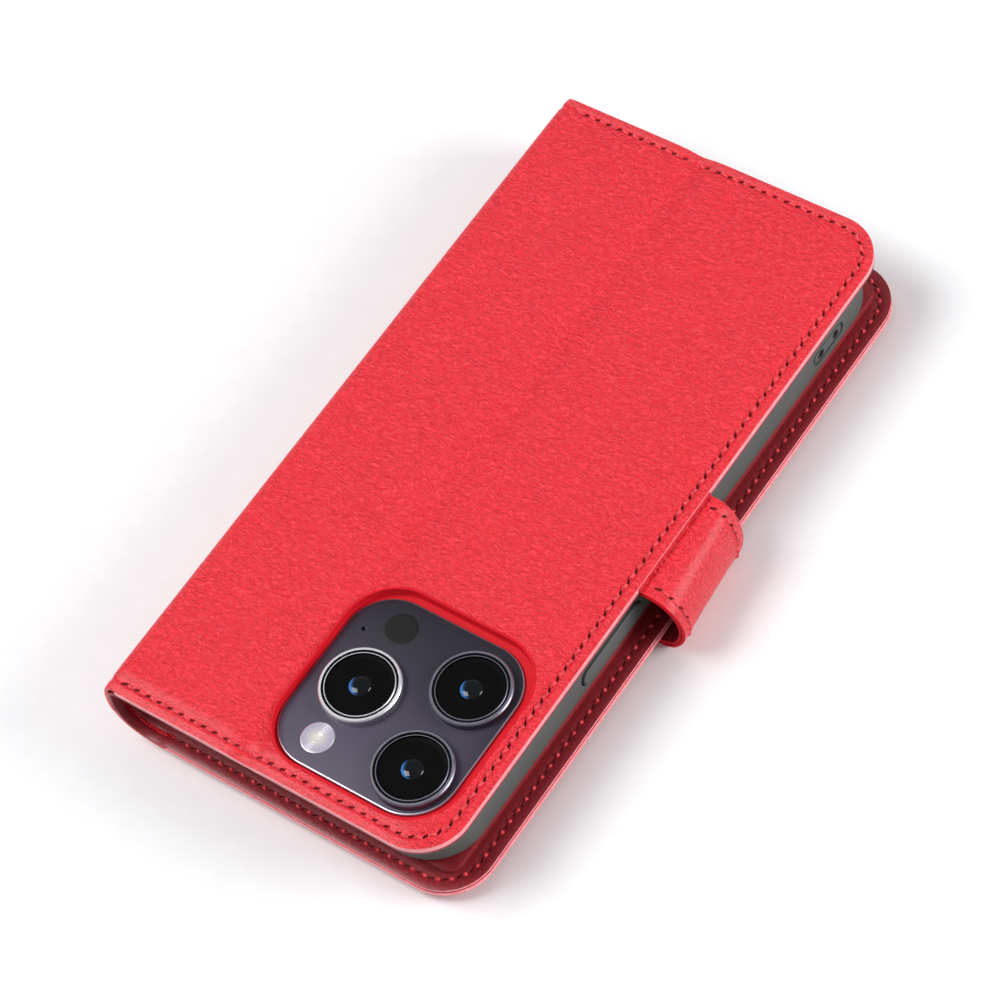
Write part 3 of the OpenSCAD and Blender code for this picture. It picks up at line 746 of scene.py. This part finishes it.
def rounded_bar(name, lo, hi, axis, finish, rim=0.0):
    """A bar with full round ends, seen along the axis."""
    bpy.ops.object.select_all(action="DESELECT")
    bpy.ops.mesh.primitive_cube_add(size=1, location=(lo + hi) / 2)
    bpy.context.object.scale = hi - lo
    bar = placed(name, finish)
    width = min(side for i, side in enumerate(hi - lo) if i != axis)
    pick(bar, "EDGE", lambda middle, along, open_edge: abs(along[axis]) > 0.9)
    bpy.ops.mesh.bevel(offset=width * 0.49, segments=10, affect="EDGES")
    done()
    if rim:
        pick(bar, "EDGE", lambda middle, along, open_edge: abs(along[axis]) < 0.1)
        bpy.ops.mesh.bevel(offset=rim, segments=3, affect="EDGES")
        done()
    return bar


key_boxes = {name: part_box(name) for name in ("power_button_cover", "volume_up_cover", "volume_down_cover")}
for name, (lo, hi) in key_boxes.items():
    slot_lo, slot_hi = grown(lo, hi, 2, 0.4, 0.4)
    cut(shell, rounded_bar("key_slot", slot_lo, slot_hi, 0, tpu))
mute_low_z, mute_high_z = (corner.z for corner in key_boxes["volume_up_cover"])
mute_lo = Vector((shell_lo.x - 2 * MM, shell_lo.y + MUTE_RUN[0], mute_low_z))
mute_hi = Vector((phone_lo.x + 0.4 * MM, shell_lo.y + MUTE_RUN[1], mute_high_z))
cut(shell, rounded_bar("mute_window", mute_lo, mute_hi, 0, tpu))

key_middle = (key_boxes["power_button_cover"][0].z + key_boxes["power_button_cover"][1].z) / 2
plaque_lo = Vector((shell_hi.x - 0.4 * MM, CORD_HOLES[0] - PLAQUE_END, key_middle - PLAQUE_HALF))
plaque_hi = Vector((shell_hi.x + 1 * MM, CORD_HOLES[1] + PLAQUE_END, key_middle + PLAQUE_HALF))
cut(shell, rounded_bar("plaque_groove", plaque_lo, plaque_hi, 0, tpu))
island_lo, island_hi = grown(plaque_lo, plaque_hi, 0, -GROOVE_MM, -GROOVE_MM)
island_lo.x, island_hi.x = shell_hi.x - 0.8 * MM, shell_hi.x
cut(shell, rounded_bar("plaque", island_lo, island_hi, 0, tpu, 0.12 * MM), "UNION")
for y in CORD_HOLES:
    bpy.ops.object.select_all(action="DESELECT")
    bpy.ops.mesh.primitive_cylinder_add(vertices=32, radius=CORD_HOLE_RADIUS, depth=4 * MM,
                                        location=(shell_hi.x, y, key_middle), rotation=(0, math.pi / 2, 0))
    cut(shell, placed("cord_hole", tpu))
channel_lo = Vector((phone_hi.x - 0.5 * MM, CORD_HOLES[0] - 1 * MM, key_middle - 1 * MM))
channel_hi = Vector((phone_hi.x + 0.35 * MM, CORD_HOLES[1] + 1 * MM, key_middle + 1 * MM))
cut(shell, rounded_bar("cord_channel", channel_lo, channel_hi, 0, tpu))
phone_middle = (phone_lo.x + phone_hi.x) / 2
for shift, half_width, half_height in PORTS:
    port_lo = Vector((phone_middle + (shift - half_width) * MM, phone_hi.y - 1 * MM,
                      key_middle - half_height * MM))
    port_hi = Vector((phone_middle + (shift + half_width) * MM, shell_hi.y + 2 * MM,
                      key_middle + half_height * MM))
    cut(shell, rounded_bar("port", port_lo, port_hi, 1, tpu))
smooth(shell, 32)
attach(shell, "back_cover")
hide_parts("phone_shell")

# the adhesive sheet: milky, slightly glossy acrylic film
acrylic, tree = material("acrylic_adhesive_film")
milk = add(tree, "TexNoise", {"Vector": add(tree, "TexCoord")["Object"], "Scale": 1 / (2 * MM)})["Fac"]
film_colour = add(tree, "Mix", {0: milk, 6: linear("#C9C4BA"), 7: linear("#DAD6CD")}, data_type="RGBA")[2]
surface(tree, {"Base Color": film_colour, "Roughness": 0.3})
dress(acrylic, "shell_adhesive_pad")

# ---------------------------------------------------------------- key covers
# The same TPU, left standing as islands on thin webs so that each can be pressed onto the phone's key.
riders = {"power_button_cover": "power_button", "volume_up_cover": "volume_up_button",
          "volume_down_cover": "volume_down_button"}
for name, (lo, hi) in key_boxes.items():
    cover = rounded_bar(name.replace("cover", "pad"), lo, hi, 0, tpu, 0.22 * MM)
    smooth(cover, 40)
    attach(cover, riders[name])
    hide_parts(name)

# ---------------------------------------------------------------- phone that the case holds
# A metal frame with a rounded rim, closed by a flat glass at each side. Its side keys are metal bars.
# anodised frame: satin, deep grey-violet, with a very fine blasted grain
anodised, tree = material("anodised_metal_grey_violet")
grit = add(tree, "TexNoise", {"Vector": add(tree, "TexCoord")["Object"], "Scale": 1 / (0.25 * MM)})["Fac"]
frame_tone = add(tree, "Mix", {0: grit, 6: linear("#4B4656"), 7: linear("#5F5A6A")}, data_type="RGBA")[2]
grit_bump = add(tree, "Bump", {"Height": grit, "Distance": 0.01 * MM})["Normal"]
surface(tree, {"Base Color": frame_tone, "Metallic": 1.0, "Roughness": 0.3, "Normal": grit_bump})

# black display glass: deep black under a hard clear gloss, a trace greyer where the panel lies
display_glass, tree = material("black_display_glass")
haze = add(tree, "TexNoise", {"Vector": add(tree, "TexCoord")["Object"], "Scale": 1 / (30 * MM)})["Fac"]
glass_tone = add(tree, "Mix", {0: haze, 6: linear("#0B0C0F"), 7: linear("#15161A")}, data_type="RGBA")[2]
surface(tree, {"Base Color": glass_tone, "Roughness": 0.06, "IOR": 1.5, "Coat Weight": 1.0,
               "Coat Roughness": 0.03})

# etched back glass: the colour lies under a matt surface
etched_glass, tree = material("etched_back_glass_violet")
frost = add(tree, "TexNoise", {"Vector": add(tree, "TexCoord")["Object"], "Scale": 1 / (20 * MM)})["Fac"]
back_tone = add(tree, "Mix", {0: frost, 6: linear("#3A3644"), 7: linear("#4B4656")}, data_type="RGBA")[2]
surface(tree, {"Base Color": back_tone, "Roughness": 0.4, "IOR": 1.5})

phone = slab("phone_body", phone_lo, phone_hi, PHONE_CORNER, 1.2 * MM, anodised, 16, 5)
for node in ("phone_screen", "phone_back_glass"):
    lo, hi = grown(*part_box(node), 0.02, 0.02, 0.4)
    cut(phone, slab("glass_seat", lo, hi, PHONE_CORNER - 1.43 * MM, 0, anodised, 14))
port_lo = Vector((phone_middle - 4.5 * MM, phone_hi.y - 5 * MM, key_middle - 1.5 * MM))
port_hi = Vector((phone_middle + 4.5 * MM, phone_hi.y + 1 * MM, key_middle + 1.5 * MM))
cut(phone, rounded_bar("phone_port", port_lo, port_hi, 1, display_glass))
PHONE_KEYS = ("power_key", "volume_up_key", "volume_down_key")
for node in PHONE_KEYS:
    lo, hi = grown(*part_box(node), 0.45, 0.1, 0.1)
    cut(phone, rounded_bar("key_seat", lo, hi, 0, display_glass))
smooth(phone, 32)
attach(phone, "back_cover")
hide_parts("phone_frame")
for node, finish, slot_name in (("phone_screen", display_glass, "phone_glass"),
                                ("phone_back_glass", etched_glass, "back_glass")):
    pane = slab(node.replace("phone", "fitted"), *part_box(node), PHONE_CORNER - 1.45 * MM, 0.15 * MM,
                finish, 14, 3)
    smooth(pane)
    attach(pane, "back_cover")
    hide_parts(node)
for node in PHONE_KEYS:
    key = rounded_bar(node.replace("key", "metal_key"), *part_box(node), 0, anodised, 0.1 * MM)
    smooth(key, 40)
    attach(key, body_of(frame["nodes"][node])[0])
    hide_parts(node)

# ---------------------------------------------------------------- camera plateau
# One sheet of dark violet-grey etched glass stands out of the phone's back, with a bright polished chamfer.
# Three lenses, a flash, a depth sensor and a pinhole microphone are set into it.
# etched plateau glass: satin, its colour painted from near-black towards the bottom end to grey-violet towards
# the camera end, a painted light gradient across its width
plateau_glass, tree = material("etched_plateau_glass")
plateau_place = add(tree, "SeparateXYZ", {"Vector": add(tree, "TexCoord")["Object"]})
# painted light: the plateau is lighter on its side towards the camera end and near-black on the other
plateau_light_gradient = add(tree, "MapRange", {"Value": plateau_place["Y"], "From Min": plateau_hi.y,
                              "From Max": plateau_lo.y},
           interpolation_type="SMOOTHSTEP")[0]
plateau_lit_tint = add(tree, "Mix", {0: plateau_light_gradient, 6: linear("#211F29"), 7: linear("#443D50")}, data_type="RGBA")[2]
surface(tree, {"Base Color": plateau_lit_tint, "Roughness": 0.42, "IOR": 1.4})

# polished chamfer: a thin bright line all round the plateau
chamfer, tree = material("polished_chamfer")
shine = add(tree, "TexNoise", {"Vector": add(tree, "TexCoord")["Object"], "Scale": 1 / (4 * MM)})["Fac"]
silver = add(tree, "Mix", {0: shine, 6: linear("#A9A7B6"), 7: linear("#C9C7D4")}, data_type="RGBA")[2]
surface(tree, {"Base Color": silver, "Metallic": 1.0, "Roughness": 0.38})

plateau = slab("plateau_glass", plateau_lo, plateau_hi, PLATEAU_CORNER, 0, plateau_glass, 18)
plateau.data.materials.append(chamfer)
plateau.data.materials.append(display_glass)
pick(plateau, "EDGE", lambda middle, along, open_edge: abs(along.z) < 0.1
     and middle.z > plateau_hi.z - 0.1 * MM)
bpy.ops.mesh.bevel(offset=0.38 * MM, segments=3, affect="EDGES", material=1)
done()
MICROPHONE = plateau_lo + Vector((3.85, 29.0, 0)) * MM
bpy.ops.object.select_all(action="DESELECT")
bpy.ops.mesh.primitive_cylinder_add(vertices=24, radius=0.5 * MM, depth=1.2 * MM,
                                    location=(MICROPHONE.x, MICROPHONE.y, plateau_hi.z))
cut(plateau, placed("microphone", display_glass))
smooth(plateau)
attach(plateau, "back_cover")
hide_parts("camera_plateau")

# ---------------------------------------------------------------- lenses
# Each lens stands in a turned metal ring with a fine second ring inside it, round a deep black barrel. A small
# coated element shows at the bottom of the barrel, with a painted blue reflection on one flank.
# turned and polished ring metal, as a lit and a shaded copy of one metal: the first lens's ring and the flash rim
# take the lit copy (painted highlight), and the rings of the other two lenses and the fine rings in the barrels
# take the darker one (painted shade)
ring_metal_lit, tree = material("turned_ring_metal_painted_lit")
turning = add(tree, "TexNoise", {"Vector": add(tree, "TexCoord")["Object"], "Scale": 1 / (1 * MM)})["Fac"]
bright = add(tree, "Mix", {0: turning, 6: linear("#D6D5DC"), 7: linear("#F0EFF4")}, data_type="RGBA")[2]
surface(tree, {"Base Color": bright, "Metallic": 1.0, "Roughness": 0.36})
ring_metal_shaded, tree = material("turned_ring_metal_painted_shade")
turning = add(tree, "TexNoise", {"Vector": add(tree, "TexCoord")["Object"], "Scale": 1 / (1 * MM)})["Fac"]
dusk = add(tree, "Mix", {0: turning, 6: linear("#6E6B78"), 7: linear("#8C8997")}, data_type="RGBA")[2]
surface(tree, {"Base Color": dusk, "Metallic": 1.0, "Roughness": 0.38})

# black barrel under its cover glass: no colour of its own, one clear reflection
barrel, tree = material("blackened_barrel_under_glass")
soot = add(tree, "TexNoise", {"Vector": add(tree, "TexCoord")["Object"], "Scale": 1 / (3 * MM)})["Fac"]
black = add(tree, "Mix", {0: soot, 6: linear("#020203"), 7: linear("#060607")}, data_type="RGBA")[2]
surface(tree, {"Base Color": black, "Roughness": 0.25, "Specular IOR Level": 0.08, "Coat Weight": 0.06,
               "Coat Roughness": 0.03})

# coated element: near black and mirror smooth, with a painted blue reflection on the flank turned to the spine
# side
PAINTED_REFLECTION_FLANK = (-0.78, -0.62, 0)
element_with_painted_reflection, tree = material("coated_element_painted_blue_reflection")
dome_normal = add(tree, "TexCoord")["Normal"]
flank = add(tree, "VectorMath", {0: dome_normal, 1: PAINTED_REFLECTION_FLANK}, operation="DOT_PRODUCT")["Value"]
# painted reflection: blue on the element's flank turned to the spine side
painted_reflection_mask = add(tree, "MapRange", {"Value": flank, "From Min": 0.12, "From Max": 0.6},
               interpolation_type="SMOOTHSTEP")[0]
blue = add(tree, "Mix", {0: painted_reflection_mask, 6: linear("#030509"), 7: linear("#3E7CC6")}, data_type="RGBA")[2]
surface(tree, {"Base Color": blue, "Roughness": 0.05, "IOR": 1.5, "Specular IOR Level": 0.35})


def turned(name, middle, radius, z0, z1, steps, finishes, sides=72):
    """A turned disc: each step draws its top face in and raises or sinks it, and says its finish."""
    bpy.ops.object.select_all(action="DESELECT")
    bpy.ops.mesh.primitive_cylinder_add(vertices=sides, radius=radius, depth=z1 - z0,
                                        location=(middle.x, middle.y, (z0 + z1) / 2))
    disc = placed(name, *finishes)
    pick(disc, "FACE", lambda centre, normal: normal.z > 0.9)
    for inset, rise, finish in steps:
        bpy.ops.mesh.inset(thickness=inset * MM, depth=0)
        bpy.ops.transform.translate(value=(0, 0, rise * MM))
        done()
        inner = [face for face in disc.data.polygons if face.select]
        edges = set(key for face in inner for key in face.edge_keys)
        for face in disc.data.polygons:
            if not face.select and edges & set(face.edge_keys):
                face.material_index = finish
        inner[0].material_index = finish
        bpy.ops.object.mode_set(mode="EDIT")
    done()
    smooth(disc, 30)
    return disc


RING_STEPS = [(0.22, 0.22, 0), (0.42, 0, 0), (0.1, -0.14, 1), (0.34, 0, 1), (0.08, 0.1, 0), (0.14, 0, 0),
              (0.12, -0.48, 1), (0.4, 0.0, 1)]
BARREL_INSET = 1.42 * MM
BARREL_STEPS = [(1.5, -0.12, 0), (0.1, 0.05, 1), (1.05, -0.1, 0), (0.16, 0.05, 1), (0.95, -0.1, 0),
                (0.1, -0.02, 0)]
ELEMENT_STEPS = [(0.12, 0.16, 0), (0.2, 0.15, 0), (0.3, 0.13, 0), (0.4, 0.09, 0), (0.5, 0.05, 0),
                 (0.35, 0.01, 0)]
ELEMENT_RADIUS = 2.2 * MM
for number, metal in ((1, ring_metal_lit), (2, ring_metal_shaded), (3, ring_metal_shaded)):
    lo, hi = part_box(f"camera_ring_{number}")
    middle, radius = (lo + hi) / 2, (hi.x - lo.x) / 2
    seat = hi.z - 0.22 * MM
    ring = turned(f"lens_ring_{number}", middle, radius, lo.z, seat, RING_STEPS, [metal, barrel], 96)
    optics = turned(f"lens_barrel_{number}", middle, radius - BARREL_INSET, lo.z + 0.2 * MM, hi.z - 0.45 * MM,
                    BARREL_STEPS, [barrel, ring_metal_shaded], 96)
    well = max(v.co.z for v in optics.data.vertices if (v.co - middle).xy.length < 3 * MM)
    element = turned(f"lens_element_{number}", middle, ELEMENT_RADIUS, well - 0.2 * MM, well + 0.05 * MM,
                     ELEMENT_STEPS, [element_with_painted_reflection], 48)
    for piece, node, slot_name in ((ring, f"camera_ring_{number}", "ring_metal"),
                                   (optics, f"camera_glass_{number}", "lens_glass"),
                                   (element, None, "lens_glass")):
        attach(piece, "back_cover")
        if node:
            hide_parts(node)

# ---------------------------------------------------------------- flash and depth sensor
# The flash is a milky disc with fine circular ridges over a warm lamp; the sensor is a flush disc of dark glass.
flash_lo, flash_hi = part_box("flash_lens")
flash_middle = (flash_lo + flash_hi) / 2
# ridged diffuser: milky and soft, warm in the middle, pale violet at the rim
diffuser, tree = material("ridged_flash_diffuser")
from_middle = add(tree, "Mapping", {"Vector": add(tree, "TexCoord")["Object"],
                                    "Location": (-flash_middle.x, -flash_middle.y, -flash_hi.z)})["Vector"]
reach = add(tree, "VectorMath", {0: from_middle}, operation="LENGTH")["Value"]
glow = add(tree, "MapRange", {"Value": reach, "From Min": 0.4 * MM, "From Max": 2.4 * MM})[0]
lamp_tone = add(tree, "Mix", {0: glow, 6: linear("#CFC8BC"), 7: linear("#A7A2B4")}, data_type="RGBA")[2]
surface(tree, {"Base Color": lamp_tone, "Roughness": 0.3, "IOR": 1.49, "Coat Weight": 0.5,
               "Coat Roughness": 0.1})
RIDGES = [(0.22, 0.12, 1)] + [(0.24, 0.11 if i % 2 else -0.11, 0) for i in range(9)]
flash = turned("ridged_flash", flash_middle, (flash_hi.x - flash_lo.x) / 2, flash_lo.z, flash_hi.z, RIDGES,
               [diffuser, ring_metal_lit], 48)
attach(flash, "back_cover")
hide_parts("flash_lens")
sensor_lo, sensor_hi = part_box("depth_sensor_window")
# infrared window: flat near-black glass, glossier than the plateau round it
infrared, tree = material("infrared_window_glass")
smoke = add(tree, "TexNoise", {"Vector": add(tree, "TexCoord")["Object"], "Scale": 1 / (2 * MM)})["Fac"]
dim = add(tree, "Mix", {0: smoke, 6: linear("#0C0C0E"), 7: linear("#121214")}, data_type="RGBA")[2]
surface(tree, {"Base Color": dim, "Roughness": 0.45, "Specular IOR Level": 0.25})
sensor = turned("sensor_window_disc", (sensor_lo + sensor_hi) / 2, (sensor_hi.x - sensor_lo.x) / 2, sensor_lo.z,
                sensor_hi.z, [(0.1, 0.03, 0), (0.3, 0, 0)], [infrared], 48)
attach(sensor, "back_cover")
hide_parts("depth_sensor_window")

# ---------------------------------------------------------------- pockets
# Four leaves of smooth lining leather, sewn down in steps inside the front cover with their mouths towards the
# spine. The upper three have a round thumb notch. One row of stitches closes them along the clasp side.
THUMB = 9 * MM
for i, node in enumerate(("cash_pocket", "card_pocket_1", "card_pocket_2", "card_pocket_3")):
    lo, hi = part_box(node)
    leaf = slab(node + "_leaf", lo, hi, 2.5 * MM, 0, lining_leather, 6)
    if i:
        bpy.ops.object.select_all(action="DESELECT")
        bpy.ops.mesh.primitive_cylinder_add(vertices=64, radius=THUMB, depth=4 * MM,
                                            location=(lo.x - 4 * MM, 0, lo.z))
        cut(leaf, placed("thumb_notch", lining_leather))
    soften(leaf, 0.12, 2, 60)
    smooth(leaf, 40)
    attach(leaf, "front_cover")
    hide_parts(node)
row_lo, row_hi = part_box("pocket_stitching")
leaf_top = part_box("card_pocket_3")[1]
row_count = round((row_hi.y - row_lo.y) / STITCH_PITCH)
row_places = [Matrix.Translation((leaf_top.x - 1.6 * MM, row_lo.y + (i + 0.5) * STITCH_PITCH, leaf_top.z))
              @ Matrix.Rotation(math.pi / 2, 4, "Z") for i in range(row_count)]
pocket_thread = copies(stitch(thread_red), row_places, "pocket_thread")
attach(pocket_thread, "front_cover")
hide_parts("pocket_stitching")

# ---------------------------------------------------------------- strap and tab
# A band of the same leather with its own lining, sewn in under the back cover's clasp edge. It bulges round
# the side of the case and folds under the front cover, where its rounded tab ends in the magnet.
STRAP_ROOT = hinges["strap_swing"]
TAB_FOLD = hinges["tab_fold"]
UNDER_EDGE = STRAP_ROOT + Vector((0, 0, -0.85)) * MM
STRAP_CURVE = [UNDER_EDGE, UNDER_EDGE + Vector((7.6, 0, 0.6)) * MM, TAB_FOLD + Vector((5.5, 0, 6.6)) * MM,
               TAB_FOLD]
strap_lo, strap_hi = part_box("strap_leather")
tab_lo, tab_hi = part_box("tab_leather")
STRAP_ROW = 2.2 * MM
LEAN = 1.3 * MM
strap_middle = (strap_lo.y + strap_hi.y) / 2
strap_half = (strap_hi.y - strap_lo.y) / 2


def band(name, root, path, finish, ply):
    """A strap: a strip led along the path, round at its far end, with thickness on its inner side."""
    bpy.ops.object.select_all(action="DESELECT")
    start = Vector(((root.x + path[0].x) / 2, strap_middle, path[0].z))
    bpy.ops.mesh.primitive_plane_add(size=1, location=start)
    bpy.context.object.scale = (path[0].x - root.x, 2 * strap_half, 1)
    strip = placed(name, finish, trim_film, needle_hole_painted_shade)
    pick(strip, "EDGE", lambda middle, along, open_edge: middle.x > path[0].x - 0.01 * MM)
    for here, there in zip(path, path[1:]):
        bpy.ops.mesh.extrude_edges_move(TRANSFORM_OT_translate={"value": there - here})
    done()
    tip = path[-1].x
    pick(strip, "VERT", lambda co: abs(co.x - tip) < 0.01 * MM)
    bpy.ops.mesh.bevel(offset=8 * MM, segments=10, affect="VERTICES")
    done()
    pick(strip, "FACE", everything)
    for i in range(1, 12):
        bpy.ops.mesh.select_all(action="SELECT")
        bpy.ops.mesh.bisect(plane_co=(0, strap_lo.y + i * 2 * MM, 0), plane_no=(0, 1, 0))
    bpy.ops.mesh.select_all(action="SELECT")
    bpy.ops.mesh.normals_make_consistent(inside=False)
    done()
    tab_face = min(strip.data.polygons, key=lambda face: face.center.x)
    if tab_face.normal.z > 0:
        pick(strip, "FACE", everything)
        bpy.ops.mesh.flip_normals()
        done()
    finished(strip, "SOLIDIFY", thickness=ply, offset=-1, use_even_offset=True)
    soften(strip, 0.2, 3)
    for face in strip.data.polygons:
        if abs(face.normal.y) > 0.6 and face.center.x > 0:
            face.material_index = 1
    return strip


def lean(piece):
    """The strap is pulled askew: its bulge is fuller at the camera end than at the other."""
    for vertex in piece.data.vertices:
        height = (vertex.co.z - TAB_FOLD.z) / (STRAP_ROOT.z - TAB_FOLD.z)
        if vertex.co.x > TAB_FOLD.x - 4 * MM and 0 < height < 1:
            side = (strap_middle - vertex.co.y) / strap_half
            vertex.co.x += LEAN * side * math.sin(math.pi * height) ** 0.8


def along_strap(t, inward, y):
    point = curve_point(STRAP_CURVE, t, inward)
    point.y = y
    return point


TURN_UNDER = [Vector((-0.7, 0, -0.12)), Vector((-1.6, 0, 0.0)), Vector((-2.8, 0, 0)), Vector((-6, 0, 0))]
strap_path = [along_strap(t, 0, 0) for t in [0.0] + [0.05 + 0.9 * i / 20 for i in range(21)]]
strap_path += [TAB_FOLD + step * MM + Vector((0, 0, 0.12 * MM)) for step in TURN_UNDER[:1]]
strap_path += [TAB_FOLD + step * MM for step in TURN_UNDER[1:]]
strap_path += [Vector((x, 0, TAB_FOLD.z)) for x in (tab_lo.x + 12 * MM, tab_lo.x)]
strap_path = flat(strap_path)
strap_skin = band("strap_skin", Vector((back_hi.x - 3 * MM, 0, 0)), strap_path, red_leather, LEATHER)

lining_path = [along_strap(t, -1.46 * MM, 0) for t in [0.0] + [0.05 + 0.85 * i / 18 for i in range(19)]]
lining_path += [Vector((TAB_FOLD.x - 1.6 * MM, 0, TAB_FOLD.z + 1.75 * MM)),
                Vector((TAB_FOLD.x - 3 * MM, 0, TAB_FOLD.z + 1.62 * MM))]
lining_path += [Vector((x, 0, TAB_FOLD.z + 1.62 * MM)) for x in (tab_lo.x + 12 * MM, tab_lo.x)]
strap_inside = band("strap_inside", Vector((back_hi.x - 0.4 * MM, 0, 0)), lining_path, lining_leather, -0.6 * MM)


def strap_frames(half_step=False):
    """Places along both edges of the strap, each with its heading and the outer face's normal."""
    samples = [along_strap(i / 200, 0, 0) for i in range(201)]
    lengths = [0]
    for a, b in zip(samples, samples[1:]):
        lengths.append(lengths[-1] + (b - a).length)
    frames = []
    first, last = 2.2 * MM, lengths[-1] - 2.0 * MM
    count = round((last - first) / STITCH_PITCH)
    for i in range(count + (1 if half_step else 0)):
        s = first + (i + (0 if half_step else 0.5)) * (last - first) / count
        t = next(k for k, run in enumerate(lengths) if run >= s) / 200
        for y in (strap_lo.y + STRAP_ROW, strap_hi.y - STRAP_ROW):
            heading = (along_strap(t + 0.002, 0, y) - along_strap(t - 0.002, 0, y)).normalized()
            normal = Vector((-heading.z, 0, heading.x))
            side = normal.cross(heading)
            turn = Matrix((heading, side, normal)).transposed().to_4x4()
            frames.append(Matrix.Translation(along_strap(t, 0, y)) @ turn)
    return frames


def tab_frames(z, half_step=False):
    """Places round the tab, on its face towards the floor."""
    inset, radius = STRAP_ROW, 8 * MM - STRAP_ROW
    x0, y0, y1 = tab_lo.x + inset, strap_lo.y + inset, strap_hi.y - inset
    side_run = TAB_FOLD.x - 3.5 * MM - x0 - radius
    arc, end_run = radius * math.pi / 2, y1 - y0 - 2 * radius
    total = 2 * side_run + 2 * arc + end_run
    count = round(total / STITCH_PITCH)
    frames = []
    for i in range(count):
        s = (i + (0 if half_step else 0.5)) * total / count
        if s < side_run:
            x, y, turn = x0 + radius + side_run - s, y0, math.pi
        elif s < side_run + arc:
            a = (s - side_run) / radius
            x, y, turn = x0 + radius - radius * math.sin(a), y0 + radius - radius * math.cos(a), math.pi - a
        elif s < side_run + arc + end_run:
            x, y, turn = x0, y0 + radius + s - side_run - arc, math.pi / 2
        elif s < side_run + 2 * arc + end_run:
            a = (s - side_run - arc - end_run) / radius
            x, y = x0 + radius - radius * math.cos(a), y1 - radius + radius * math.sin(a)
            turn = math.pi / 2 - a
        else:
            x, y, turn = x0 + radius + s - side_run - 2 * arc - end_run, y1, 0
        face_down = Matrix.Rotation(turn, 4, "Z") @ Matrix.Rotation(math.pi, 4, "X")
        frames.append(Matrix.Translation((x, y, z)) @ face_down)
    return frames


cut(strap_skin, copies(needle(), strap_frames(True) + tab_frames(TAB_FOLD.z, True), "slits"))
strap_thread = copies(stitch(thread_red), strap_frames(), "strap_thread")
tab_thread = copies(stitch(thread_red), tab_frames(TAB_FOLD.z + 0.32 * MM), "tab_thread")
for piece in (strap_skin, strap_inside, strap_thread):
    lean(piece)
smooth(strap_skin)
smooth(strap_inside)
for piece in (strap_skin, strap_inside, strap_thread, tab_thread):
    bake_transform(piece, "strap", "strap_tab", start=TAB_FOLD + Vector((1.2, 0, 3)) * MM,
             end=TAB_FOLD + Vector((-1.8, 0, 0)) * MM)
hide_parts("strap_leather", "tab_leather")
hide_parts("strap_lining", "tab_lining")
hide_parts("strap_stitching")
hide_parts("tab_stitching")
